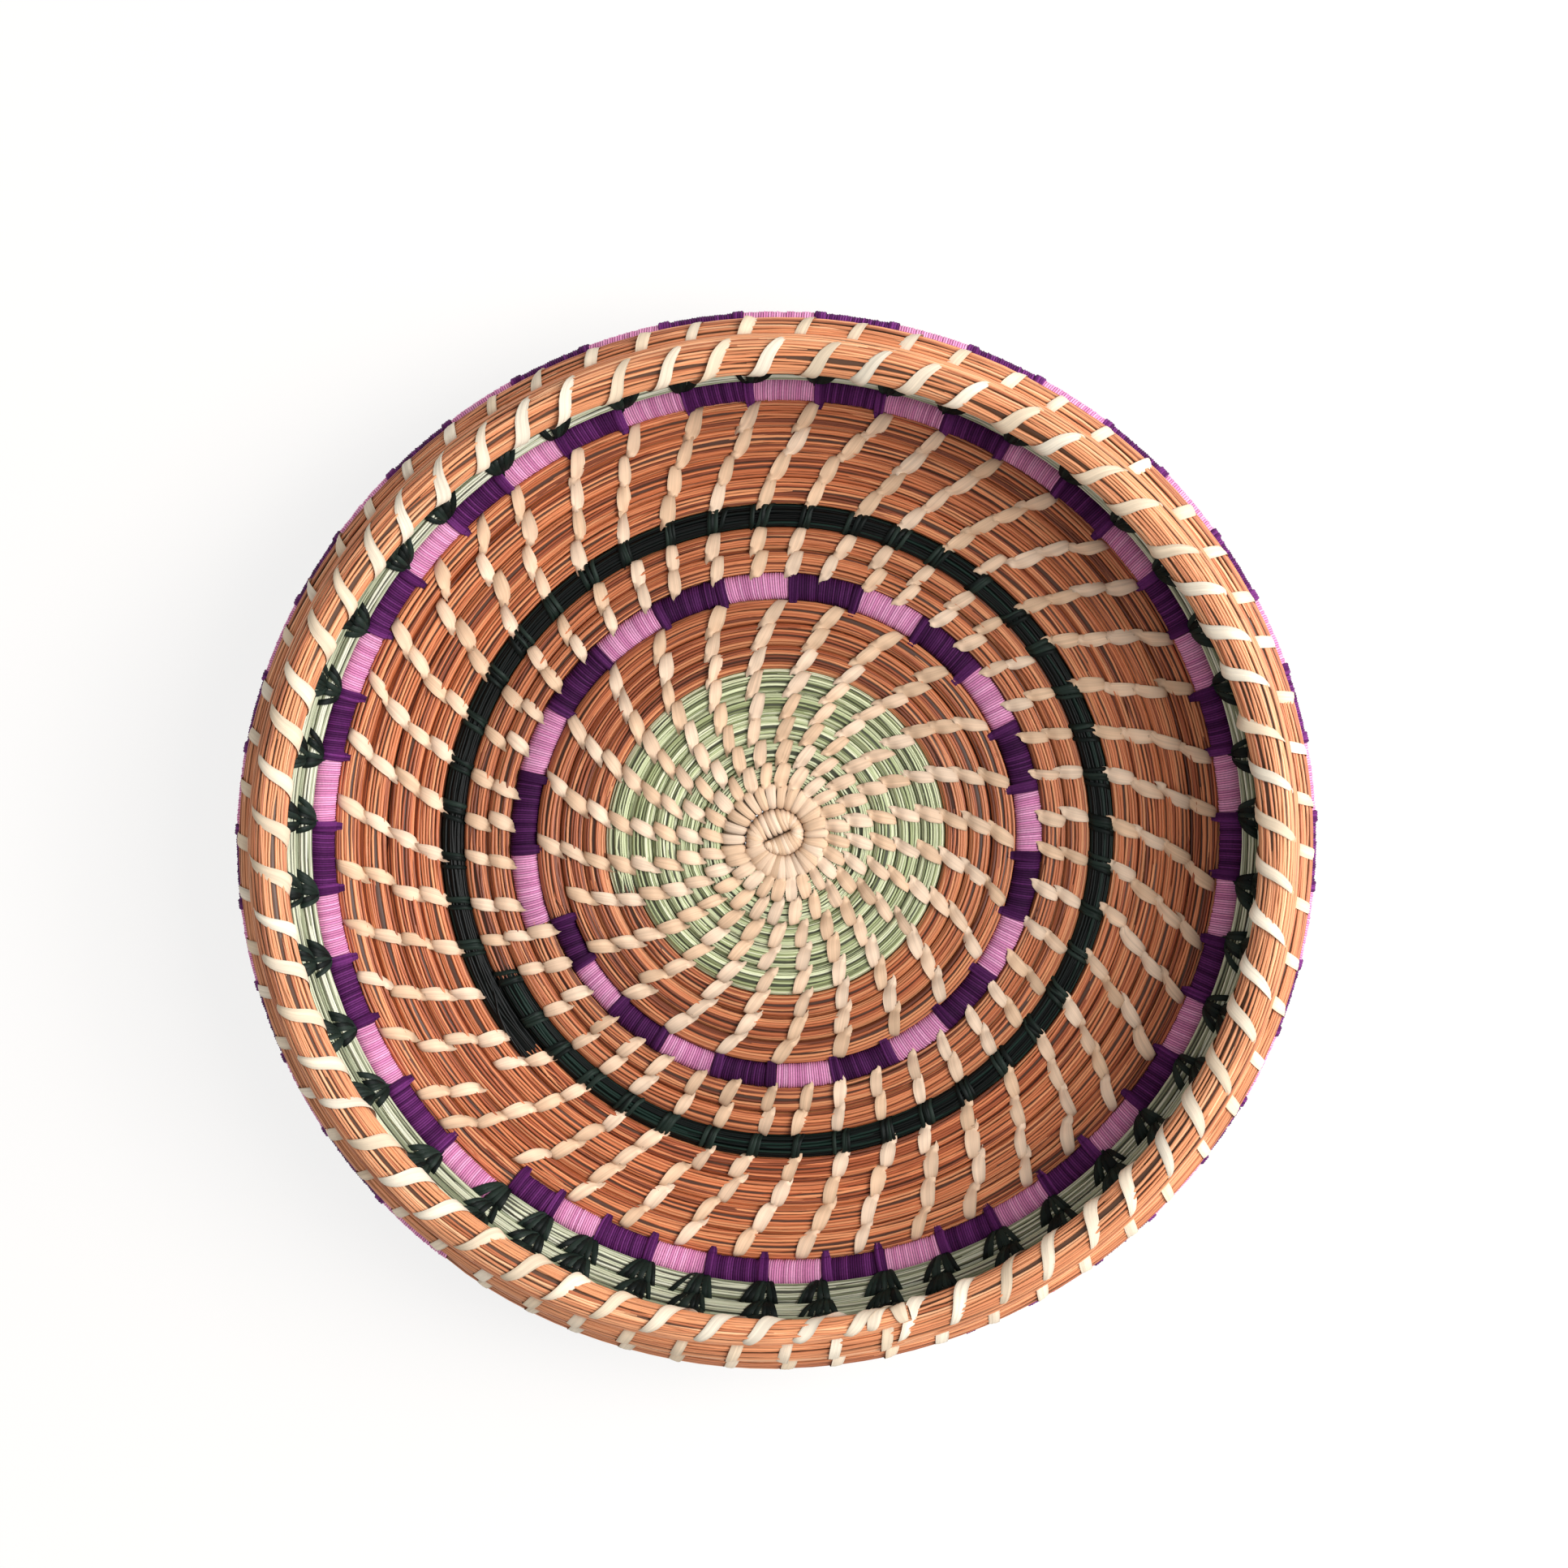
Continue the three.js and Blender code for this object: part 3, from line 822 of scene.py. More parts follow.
@dataclass(frozen=True)
class Strips:
    """Flat strips of fibre, each bent smoothly through a few control points.

    Attributes:
        controls: Control points in metres, of shape (strips, controls, 3).
        ups: Directions away from the bundle at the control points.
        widths: Width at each control point.
        crown: How far the middle stands above the edges.
        twist: How far the strips roll from side to side, in radians.
        slant: How far one edge runs ahead of the other, as a share of the length.
        ends: Brightness of the two ends, painted shade where the strip dives into the bundle.
        rows: Points along each strip.
        columns: Points across each strip.
        least: Least width.
        ripple: Height of the ripples across a strip.
        ripples: Radians of ripple from the middle to an edge.
        spread: Least and greatest share of the width.
        tones: Least and greatest brightness of a strip.
        fibres: Least and greatest brightness of its fibres.
        painted_edge_shade: Brightness that is lost at its edges, painted shade that rounds the strip.
        grain_spread: How far apart the grain of two strips can lie.
    """

    controls: Array
    ups: Array
    widths: Array
    crown: float = 0.16
    twist: float = 0.16
    slant: float = 0.0
    ends: float = 0.6
    rows: int = 15
    columns: int = 7
    least: float = 0.05
    ripple: float = 0.05
    ripples: float = 8.0
    spread: tuple[float, float] = (0.88, 1.12)
    tones: tuple[float, float] = (0.93, 1.04)
    fibres: tuple[float, float] = (0.86, 1.05)
    painted_edge_shade: float = 0.2
    grain_spread: float = 300.0

    def add_to(self, patchwork: Patchwork, colours: Array) -> None:
        """Adds the strips: a middle line, widened sideways and crowned along its middle.

        Args:
            patchwork: Where the strips go.
            colours: Colours that each strip takes one of.
        """
        rng = patchwork.rng
        count = len(self.controls)
        share = np.linspace(0.0, 1.0, self.rows)[:, None]
        across = np.linspace(-1.0, 1.0, self.columns)
        place = share * (1.0 - self.slant) + self.slant * (1.0 - across) / 2
        weights = smooth_weights(self.controls.shape[1], place)
        line = np.einsum("rck,nkd->nrcd", weights, self.controls)
        up = self._unit(np.einsum("rck,nkd->nrcd", weights, self.ups))
        level = self._unit(np.cross(up, np.gradient(line, axis=1)))
        rolls = rng.normal(0.0, self.twist, (2, count, 1, 1))
        roll = (rolls[0] * (2.0 * share - 1.0) + rolls[1])[..., None]
        side = level * np.cos(roll) + up * np.sin(roll)
        half = np.maximum(weights @ self.widths, self.least) / 2 * rng.uniform(*self.spread, (count, 1, 1))
        ripple = self.ripple * np.cos(across * self.ripples + rng.uniform(0.0, TAU, (count, 1)))
        crown = (self.crown * (1.0 - across**2) + ripple)[:, None, :, None]
        points = line + ((half * across)[..., None] * side + crown * up) * MM
        chosen = colours[rng.integers(len(colours), size=count)] * rng.uniform(*self.tones, (count, 1))
        # Painted shade: each strip darkens towards its edges.
        edges = (1.0 - self.painted_edge_shade * across**4)[:, None]
        fibres = rng.uniform(*self.fibres, (count, 1, self.columns, 1)) * edges
        # Painted shade: each strip darkens towards its ends, where it dives into the bundle.
        ends = (self.ends + (1.0 - self.ends) * np.sin(math.pi * share) ** 0.5)[..., None]
        tint = chosen[:, None, None, :] * fibres * ends
        length = np.linalg.norm(np.diff(line, axis=1), axis=-1).sum(axis=1).mean() / MM
        grain = joined(half * across, place * length)
        patchwork.add(points, tint, grain + rng.uniform(0.0, self.grain_spread, (count, 1, 1, 2)))

    @staticmethod
    def _unit(vectors: Array) -> Array:
        """The same directions with a length of one."""
        return vectors / np.maximum(np.linalg.norm(vectors, axis=-1, keepdims=True), 1e-12)


@dataclass(frozen=True)
class Way:
    """A way over the bundles, given at a few control points.

    Attributes:
        rows: 0 for a point on the row itself and -1 for one on the row inside it.
        angles: Angle round that row's bundle, in degrees.
        lifts: Height above its skin.
        shares: Share of the way from the first end to the last, counted along the spiral.
        widths: Width as a share of the greatest.
    """

    rows: tuple[int, ...]
    angles: tuple[float, ...]
    lifts: tuple[float, ...]
    shares: tuple[float, ...]
    widths: tuple[float, ...]

    def strips(
        self, first: Array, last: Array, width: float, face: Face = Face.INSIDE, **shape: float
    ) -> Strips:
        """Strips along this way.

        Args:
            first: Places of their first ends, in turns.
            last: Places of their last ends, in turns.
            width: Greatest width.
            face: The face of the wall that they lie on.
            **shape: Other attributes of the strips.

        Returns:
            The strips.
        """
        turns = first[:, None] + (last - first)[:, None] * np.array(self.shares) + np.array(self.rows)
        angles = np.radians(self.angles) * face.value
        lifts = np.array(self.lifts) - (OUTSIDE_SINK if face is Face.OUTSIDE else 0.0)
        controls = SPIRAL.surface(turns, angles, lifts)
        ups = SPIRAL.surface(turns, angles, lifts + 1.0) - controls
        return Strips(controls, ups, np.array(self.widths) * width, **shape)


STITCH = Way(
    rows=(-1, -1, 0, 0, 0, 0),
    angles=(80.0, 50.0, 130.0, 92.0, 50.0, 4.0),
    lifts=(-0.3, 0.4, 0.45, 0.55, 0.45, -0.35),
    shares=(0.0, 0.14, 0.4, 0.62, 0.84, 1.0),
    widths=(0.12, 0.55, 1.0, 1.05, 0.8, 0.3),
)
DARK_WRAP = Way(
    rows=(-1, 0, 0, 0, 0, 0),
    angles=(28.0, 146.0, 112.0, 78.0, 42.0, 2.0),
    lifts=(-0.5, 0.2, 0.5, 0.55, 0.45, -0.3),
    shares=(0.0, 0.2, 0.4, 0.6, 0.8, 1.0),
    widths=(0.8, 1.0, 1.0, 1.0, 1.0, 0.8),
)
FERN = Way(
    rows=(-1, -1, 0, 0, 0, 0),
    angles=(70.0, 42.0, 128.0, 84.0, 38.0, 0.0),
    lifts=(-0.3, 0.5, 0.55, 0.7, 0.7, 0.5),
    shares=(0.0, 0.08, 0.34, 0.6, 0.84, 1.0),
    widths=(0.32, 0.5, 0.85, 1.0, 0.95, 0.6),
)
TAB = Way(
    rows=(0, 0, 0, 0, -1, -1),
    angles=(5.0, 50.0, 90.0, 132.0, 40.0, 66.0),
    lifts=(0.0, 0.4, 0.45, 0.45, 0.4, -0.35),
    shares=(0.0, 0.0, 0.0, 0.15, 0.6, 1.0),
    widths=(1.0, 1.0, 1.0, 1.0, 1.0, 0.8),
)
FULL_WRAP = Way(
    rows=(0,) * 10,
    angles=(200.0, 160.0, 120.0, 80.0, 40.0, 0.0, -40.0, -80.0, -120.0, -160.0),
    lifts=(-0.2, 0.3, 0.35, 0.35, 0.35, 0.3, 0.25, 0.15, 0.2, -0.2),
    shares=tuple(n / 9 for n in range(10)),
    widths=(0.6, 0.66, 0.85, 1.0, 1.1, 1.1, 1.0, 0.9, 0.8, 0.6),
)
RIM_WRAP = Way(
    rows=(0,) * 9,
    angles=(210.0, 175.0, 140.0, 100.0, 60.0, 20.0, -20.0, -60.0, -95.0),
    lifts=(-0.3, 0.3, 0.45, 0.5, 0.5, 0.5, 0.45, 0.35, -0.5),
    shares=(0.0, 0.1, 0.22, 0.36, 0.5, 0.63, 0.76, 0.9, 1.0),
    widths=(0.6, 0.9, 1.0, 1.0, 1.0, 0.95, 0.8, 0.55, 0.35),
)
TICK = Way(
    rows=(0,) * 6,
    angles=(20.0, -10.0, -40.0, -70.0, -100.0, -125.0),
    lifts=(-0.4, 0.35, 0.4, 0.4, 0.35, -0.4),
    shares=(0.0, 0.2, 0.4, 0.6, 0.8, 1.0),
    widths=(0.8, 0.95, 1.0, 1.0, 0.95, 0.8),
)


@dataclass(frozen=True)
class StitchRow:
    """One row of slanting stitches round the basket. Its directions are in degrees.

    Attributes:
        zone: The zone that the row lies in.
        row: Whole turns from the start of the zone.
        columns: Stitches in a full turn.
        first: Direction of the outer end of one of them.
        lean: How far the inner end lies ahead of the outer end.
        width: Greatest width.
        tone: Brightness of its raffia, painted light and shade for the light that falls on its part of the
            basket.
        end_spread: Spread of the outer ends about their even places.
        lean_spread: Spread of the leans.
    """

    zone: Zone
    row: int
    columns: int
    first: float
    lean: float
    width: float
    tone: float = 1.0
    end_spread: float = 0.4
    lean_spread: float = 0.5

    def ends(self, rng: np.random.Generator) -> tuple[Array, Array]:
        """Places of the stitches' inner and outer ends.

        Args:
            rng: Random numbers.

        Returns:
            The two ends in turns, only for stitches that lie in the zone.
        """
        outer = self.first + 360.0 / self.columns * np.arange(self.columns)
        outer = outer + rng.normal(0.0, self.end_spread, self.columns)
        lean = (self.lean + rng.normal(0.0, self.lean_spread, self.columns)) / 360.0
        start, end = SPIRAL.spans[self.zone]
        ahead = np.mod(outer + self.lean - START_ANGLE - 360.0 * start, 360.0) / 360.0
        inner_end = start + self.row + ahead
        kept = inner_end < end
        return inner_end[kept], (inner_end - lean)[kept]


@dataclass(frozen=True)
class Stitching:
    """All the raffia stitches of the floor and the slope.

    Attributes:
        outer_ends: Directions of one outer end in each floor row, from the centre outwards, in degrees.
        floor_columns: Stitches in each row of the floor.
        wall_columns: Stitches in each row outside the first ring.
        wall_rows: Zones of these rows, each with the direction of one outer end in its first row, the
        degrees by which that falls back from row to row, and the rows' lean, width and painted-light tone.
        slant: How far one edge of a stitch runs ahead of the other, as a share of its length.
        seed: Seed of its own random numbers.
    """

    outer_ends: tuple[float, ...] = (23.4, 23.4, 23.9, 22.0, 20.7, 18.5, 16.2, 13.5)
    floor_columns: int = 24
    wall_columns: int = 2 * OUTER_PAIRS
    wall_rows: tuple[tuple[Zone, float, float, float, float, float], ...] = (
        (Zone.BROWN_MIDDLE, 4.0, 0.9, 3.2, 3.3, 0.9),
        (Zone.SLOPE, 0.6, 2.2, 3.8, 3.5, 1.08),
    )
    slant: float = 0.2
    seed: int = 21

    def rows(self) -> list[StitchRow]:
        """The rows from the centre outwards, which change evenly from each to the next.

        Returns:
            The rows of pale stitches.
        """
        rows = []
        sage_rows = round(Zone.SAGE.value.turns)
        for n, first in enumerate(self.outer_ends):
            zone, row = (Zone.SAGE, n) if n < sage_rows else (Zone.BROWN_FLOOR, n - sage_rows)
            # Painted shade: the floor rows' raffia darkens from the centre outwards.
            lean, width, tone = 10.6 - 0.48 * n, 3.15 + 0.05 * n, 1.02 - 0.02 * n
            rows.append(StitchRow(zone, row, self.floor_columns, first, lean, width, tone))
        for zone, first, back, lean, width, tone in self.wall_rows:
            for n in range(math.ceil(zone.value.turns)):
                rows.append(StitchRow(zone, n, self.wall_columns, first - back * n, lean, width, tone))
        return rows

    def build(self) -> bpy.types.Object:
        """Sews every row on both faces of the wall.

        Returns:
            The piece.
        """
        patchwork = Patchwork(self.seed)
        for row in self.rows():
            for face in Face:
                strips = STITCH.strips(*row.ends(patchwork.rng), row.width, face, slant=self.slant)
                # Painted light: each row's raffia is made lighter or darker for the light on its part of
                # the basket.
                strips.add_to(patchwork, RAFFIAS * row.tone)
        piece = patchwork.make("raffia_stitches", RAFFIA.material())
        return piece


def band_edges(zone: Zone, pairs: int) -> Array:
    """Where the bands of a ring start: the first bands are sewn closer together than the last.

    An even share s of the ring lies at s less a drift that swings with the root of the sine of half a turn.

    Args:
        zone: The ring's zone.
        pairs: Pairs of bands in the ring.

    Returns:
        Places in turns of shape (pairs, 3): the purple start, the pink start and the end.
    """
    start, end = SPIRAL.spans[zone]
    share = np.arange(pairs + 1) / pairs
    place = start + (end - start) * (share - BAND_DRIFT / 360.0 * np.sqrt(np.abs(np.sin(math.pi * share))))
    change = place[:-1] + PURPLE_SHARE * np.diff(place)
    return np.stack([place[:-1], change, place[1:]], axis=1)


@dataclass(frozen=True)
class FernStitching:
    """The dark stitches: wraps over the dark coil, and tiers of leaves that fan outwards on the shoulder.

    Directions are in degrees.

    Attributes:
        wrap_first: Direction of the outer end of one wrap.
        wrap_strands: Direction of each strand of a wrap from its middle, and its lean.
        wrap_width: Greatest width of a strand.
        tiers: Tiers of leaves, one for each turn of the shoulder.
        leaves: Directions of the outer ends of a fan's leaves from its root.
        leaf_width: Greatest width of a leaf.
        root_spread: Spread of the roots about their even places, in turns.
        tip_spread: Spread of the leaves' outer ends.
        seed: Seed of its own random numbers.
    """

    wrap_first: float = 2.6
    wrap_strands: tuple[tuple[float, float], ...] = ((-0.8, 1.6), (-0.3, 2.0), (0.3, 1.5), (0.8, 1.9))
    wrap_width: float = 1.2
    tiers: int = 4
    leaves: tuple[float, ...] = (1.3, 0.4, -0.6, -1.6, -2.6, -3.5)
    leaf_width: float = 1.5
    root_spread: float = 0.0006
    tip_spread: float = 0.25
    seed: int = 22

    def build(self) -> bpy.types.Object:
        """Sews the wraps and the fans on both faces of the wall.

        Returns:
            The piece.
        """
        patchwork = Patchwork(self.seed)
        rng = patchwork.rng
        roots = band_edges(Zone.MIDDLE_RING, OUTER_PAIRS)[:, :2].ravel() + 1.0
        for face in Face:
            for offset, lean in self.wrap_strands:
                first = self.wrap_first + offset
                wrap = StitchRow(Zone.DARK, 0, 2 * OUTER_PAIRS, first, lean, self.wrap_width)
                strips = DARK_WRAP.strips(*wrap.ends(rng), wrap.width, face, crown=0.25, columns=5)
                strips.add_to(patchwork, FERNS)
            for tier in range(self.tiers):
                root = roots + tier + rng.normal(0.0, self.root_spread, len(roots))
                for spread in self.leaves:
                    tip = root + (spread + rng.normal(0.0, self.tip_spread, len(root))) / 360.0
                    strips = FERN.strips(root, tip, self.leaf_width, face, crown=0.2, columns=4, rows=10)
                    strips.add_to(patchwork, FERNS)
        piece = patchwork.make("fern_stitches", DARK_RAFFIA.material())
        return piece


@dataclass(frozen=True)
class WrappedRing:
    """A ring of purple and pink bands, wound closely with thread.

    Attributes:
        zone: The zone that it fills.
        node: First part of the names of its CAD nodes.
        pairs: Pairs of bands in the ring.
        purple_painted_light: Brightness of its purple thread, painted light for the light that reaches the
            ring.
        pink_painted_light: Brightness of its pink thread, painted light for the light that reaches the
            ring.
        pitch: Width of one winding.
        steps: Points along each winding.
        skew: How far the windings lean to each side, in pitches.
        stand: How far their tops stand above the bundle.
        ridge: Depth of the grooves between them.
        ridge_power: The power of the sine that rounds them.
        swell: Spread of their heights.
        tones: Least and greatest brightness of a winding.
        painted_groove_shade: Brightness of the grooves, painted shade between the windings.
        grain_round: Grain for each radian round the bundle.
        grain_spread: How far apart the grain of two bands can lie.
        tab_threads: Threads in each tab, which reaches in over the row before.
        tab_start: Distance of the first from the end of the band, in pitches.
        tab_gather: Share of their spacing that is left at the tab's tip.
        tab_width: Width of each.
        seed: Seed of its own random numbers.
    """

    zone: Zone
    node: str
    pairs: int
    purple_painted_light: float
    pink_painted_light: float
    pitch: float = 0.62
    steps: int = 4
    skew: float = 0.5
    stand: float = 0.12
    ridge: float = 0.2
    ridge_power: float = 0.6
    swell: float = 0.06
    tones: tuple[float, float] = (0.88, 1.1)
    painted_groove_shade: float = 0.25
    grain_round: float = 3.2
    grain_spread: float = 200.0
    tab_threads: int = 4
    tab_start: float = 0.3
    tab_gather: float = 0.6
    tab_width: float = 0.85
    seed: int = 31

    def build(self) -> list[bpy.types.Object]:
        """Winds both colours.

        Returns:
            The two pieces.
        """
        edges = band_edges(self.zone, self.pairs)
        purple = self._wind("purple", edges[:, :2], PURPLES * self.purple_painted_light, PURPLE, tabs=True)
        pink = self._wind("pink", edges[:, 1:], PINKS * self.pink_painted_light, PINK, tabs=False)
        return [purple, pink]

    def _wind(
        self, colour: str, bands: Array, colours: Array, finish: Finish, tabs: bool
    ) -> bpy.types.Object:
        """Winds the bands of one colour.

        Args:
            colour: Part of the piece's name.
            bands: Start and end of each band, in turns.
            colours: The thread's colours.
            finish: The thread's surface.
            tabs: Whether threads reach in over the row before at the ends of each band.

        Returns:
            The piece.
        """
        patchwork = Patchwork(self.seed + len(colour))
        for low, high in bands:
            self._band(patchwork, (low, high), colours)
            if tabs:
                self._tabs(patchwork, (low, high), colours)
        piece = patchwork.make(f"{self.node}_{colour}_windings", finish.material())
        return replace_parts(piece, f"{self.node}_{colour}_thread")

    def _band(self, patchwork: Patchwork, span: tuple[float, float], colours: Array) -> None:
        """Adds one band: the bundle's skin with a half-round ridge for every winding.

        Args:
            patchwork: Where it goes.
            span: Its two ends, in turns.
            colours: The thread's colours.
        """
        rng = patchwork.rng
        low, high = span
        around = SPIRAL.around(low)
        windings = round((high - low) * around / self.pitch)
        phase = np.arange(windings * self.steps + 1) / self.steps
        skew = self.skew * self.pitch / around * np.sin(ROUND + rng.uniform(0.0, TAU))
        turns = (low + (high - low) * phase / windings)[:, None] + skew
        ridge = np.abs(np.sin(math.pi * phase)) ** self.ridge_power
        which = np.minimum(phase.astype(int), windings - 1)
        swell = rng.normal(0.0, self.swell, windings)[which]
        shades = colours[rng.integers(len(colours), size=windings)]
        shades = shades * rng.uniform(*self.tones, (windings, 1))
        lift = self.ridge * (ridge - 1.0) + swell + self.stand
        points = SPIRAL.surface(np.clip(turns, low, high), ROUND, lift[:, None])
        # Painted shade: each winding darkens towards the grooves on both sides of it.
        tone = self.painted_groove_shade + (1.0 - self.painted_groove_shade) * ridge
        grain = joined(phase[:, None] * self.pitch, ROUND * self.grain_round)
        grain = grain + rng.uniform(0.0, self.grain_spread, 2)
        patchwork.add(points, (shades[which] * tone[:, None])[:, None, :], grain)

    def _tabs(self, patchwork: Patchwork, span: tuple[float, float], colours: Array) -> None:
        """Adds the tabs at both ends of a band, on both faces: threads that gather towards their tips.

        Args:
            patchwork: Where they go.
            span: The band's two ends, in turns.
            colours: The thread's colours.
        """
        low, high = span
        offsets = (np.arange(self.tab_threads) + self.tab_start) * self.pitch / SPIRAL.around(low)
        for places in (low + offsets, high - offsets):
            tips = places.mean() + self.tab_gather * (places - places.mean())
            for face in Face:
                strips = TAB.strips(places, tips, self.tab_width, face, crown=0.25, columns=4, twist=0.05)
                strips.add_to(patchwork, colours)


@dataclass(frozen=True)
class RaffiaStart:
    """The knot in the middle and the turn of raffia-wrapped coil round it.

    Attributes:
        wraps: Wraps of raffia round the first turn.
        wrap_width: Greatest width of a wrap.
        wrap_lean: How far its ends lie ahead of and behind its middle, in turns.
        bundle_depth: How deep the dark bundle under the wraps lies.
        bundle_painted_shade: Brightness of that bundle, painted shade between the wraps.
        knot_strips: Strips that run out over the knot.
        knot_shares: Share of the way from the slit to the first turn, at a strip's control points.
        knot_rises: Height of those points above the middle of the first turn.
        knot_widths: Width at those points.
        knot_fall: Length of a strip whose outer end faces half outwards.
        slit: Half the length of the slit in the knot.
        edge_gap: Gap between the knot and the first turn.
        button_depth: How deep the knot's button lies under its strips.
        button_steps: Points round the button.
        button_painted_shade: Brightness of the button, painted shade in the slit and between the strips.
        seed: Seed of its own random numbers.
    """

    wraps: int = 27
    wrap_width: float = 2.6
    wrap_lean: float = 0.012
    bundle_depth: float = 0.1
    bundle_painted_shade: float = 0.3
    knot_strips: int = 34
    knot_shares: tuple[float, ...] = (0.0, 0.14, 0.5, 0.84, 1.0)
    knot_rises: tuple[float, ...] = (0.8, 2.8, 3.5, 2.8, 0.2)
    knot_widths: tuple[float, ...] = (0.8, 1.4, 1.7, 1.8, 1.4)
    knot_fall: float = 4.0
    slit: float = 3.7
    edge_gap: float = 0.3
    button_depth: float = 0.5
    button_steps: int = 89
    button_painted_shade: float = 0.28
    seed: int = 41

    def build(self) -> list[bpy.types.Object]:
        """Makes the wrapped turn and the knot, and hands back both pieces."""
        return [self._turn(), self._knot()]

    def _turn(self) -> bpy.types.Object:
        """Wraps the first turn: a dark bundle, painted shade between the wraps, under close wraps of
        raffia.

        Returns:
            The piece.
        """
        start, end = SPIRAL.spans[Zone.WRAPPED]
        patchwork = Patchwork(self.seed)
        bundle = SPIRAL.surface(SPIRAL.places(Zone.WRAPPED), ROUND, -self.bundle_depth)
        # Painted shade: the bundle is raffia darkened to a third.
        patchwork.add(bundle, RAFFIAS[1] * self.bundle_painted_shade)
        place = start + (np.arange(self.wraps) + 0.5) / self.wraps * (end - start)
        first, last = place + self.wrap_lean, place - self.wrap_lean
        strips = FULL_WRAP.strips(first, last, self.wrap_width, crown=0.3, rows=28)
        strips.add_to(patchwork, RAFFIAS)
        piece = patchwork.make("wrapped_start_strips", RAFFIA.material())
        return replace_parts(piece, "wrapped_start_coil")

    def _knot(self) -> bpy.types.Object:
        """Makes the knot: a low dark button, painted shade in the slit and between the strips, under strips
        that run out from a slit to the first turn.

        Returns:
            The piece.
        """
        patchwork = Patchwork(self.seed + 1)
        button = np.linspace(0.0, 1.0, self.button_steps) % 1.0
        places = (np.arange(self.knot_strips) + 0.5) / self.knot_strips
        for face in Face:
            lines, _ = self._spokes(button, face, self.button_depth)
            outside = lines[:, ::-1] if face is Face.INSIDE else lines
            # Painted shade: the button is raffia darkened to under a third.
            patchwork.add(outside, RAFFIAS[1] * self.button_painted_shade)
            controls, ups = self._spokes(places, face, 0.0)
            # Painted shade: the knot's strips darken strongly at their ends, in the slit and in the groove
            # by the first turn.
            strips = Strips(controls, ups, np.array(self.knot_widths), crown=0.3, ends=0.3)
            strips.add_to(patchwork, RAFFIAS)
        piece = patchwork.make("start_knot_strips", RAFFIA.material())
        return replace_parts(piece, "start_knot")

    def _spokes(self, places: Array, face: Face, depth: float) -> tuple[Array, Array]:
        """Lines from the slit out over the knot.

        Each starts at the nearest point of the slit, rises over the button's crown and dives at the inner
        side of the first turn. The underside is the same, upside down.

        Args:
            places: Places of their outer ends along the first turn, in turns.
            face: The face of the wall that they lie on.
            depth: How deep they lie under the strips.

        Returns:
            Their control points, of shape (places, controls, 3), and the directions away from the knot.
        """
        centre = np.append(np.array(KNOT_CENTRE) * MM, 0.0)
        axis = np.array([math.cos(KNOT_AXIS), math.sin(KNOT_AXIS), 0.0])
        edge = SPIRAL.surface(places, np.full_like(places, math.pi), self.edge_gap)
        along = np.clip((edge - centre) @ axis, -self.slit * MM, self.slit * MM)
        root = centre + along[:, None] * axis
        root[:, 2] = edge[:, 2]
        spoke = (edge - root)[:, None, :]
        share = np.array(self.knot_shares)[:, None]
        controls = root[:, None, :] + spoke * share
        controls[..., 2] += face.value * (np.array(self.knot_rises) - depth) * MM
        ups = spoke * share**3 / (self.knot_fall * MM) + np.array([0.0, 0.0, face.value])
        return controls, ups


@dataclass(frozen=True)
class RimLashing:
    """The raffia wraps round the rim's last turn, with the short ticks where they pass the turn below.

    Places along the rim are counted in pitches, and one pitch is the distance between two wraps.

    Attributes:
        wraps: Wraps in a full turn.
        under: Wraps before that turn, of which only the ticks show.
        width: Greatest width of a wrap.
        last: Distance of the last wrap from the end of the rim.
        ends: How far a wrap's two ends lie ahead of its middle.
        ticks: How far a tick's two ends lie ahead of the middle of its wrap.
        tick_width: Width of a tick as a share of a wrap's.
        tip: Distance from the end of the rim of the two strips that bind it.
        tip_leans: How far each of these leans.
        spread: Spread of the wraps about their even places, in turns.
        seed: Seed of its own random numbers.
    """

    wraps: int = 62
    under: int = 9
    width: float = 3.8
    last: float = 0.8
    ends: tuple[float, float] = (0.75, -0.55)
    ticks: tuple[float, float] = (0.4, 0.1)
    tick_width: float = 0.8
    tip: float = 0.3
    tip_leans: tuple[float, ...] = (-0.55, 0.2)
    spread: float = 0.0006
    seed: int = 51

    def build(self) -> bpy.types.Object:
        """Wraps the rim.

        Returns:
            The piece.
        """
        patchwork = Patchwork(self.seed)
        _, end = SPIRAL.spans[Zone.RIM]
        pitch = 1.0 / self.wraps
        count = self.wraps + self.under
        middle = end - pitch * (np.arange(count) + self.last)
        middle = middle + patchwork.rng.normal(0.0, self.spread, count)
        first, last = (middle[: self.wraps] + pitch * ahead for ahead in self.ends)
        RIM_WRAP.strips(first, last, self.width, rows=26).add_to(patchwork, RIM_PAINTED_LIGHT_RAFFIAS)
        first, last = (middle - 1.0 + pitch * ahead for ahead in self.ticks)
        TICK.strips(first, last, self.width * self.tick_width).add_to(patchwork, RIM_PAINTED_LIGHT_RAFFIAS)
        tip = np.array([end - self.tip * pitch])
        for lean in self.tip_leans:
            RIM_WRAP.strips(tip, tip + lean * pitch, self.width).add_to(patchwork, RIM_PAINTED_LIGHT_RAFFIAS)
        piece = patchwork.make("rim_wraps", RAFFIA.material())
        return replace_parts(piece, "rim_lashing")


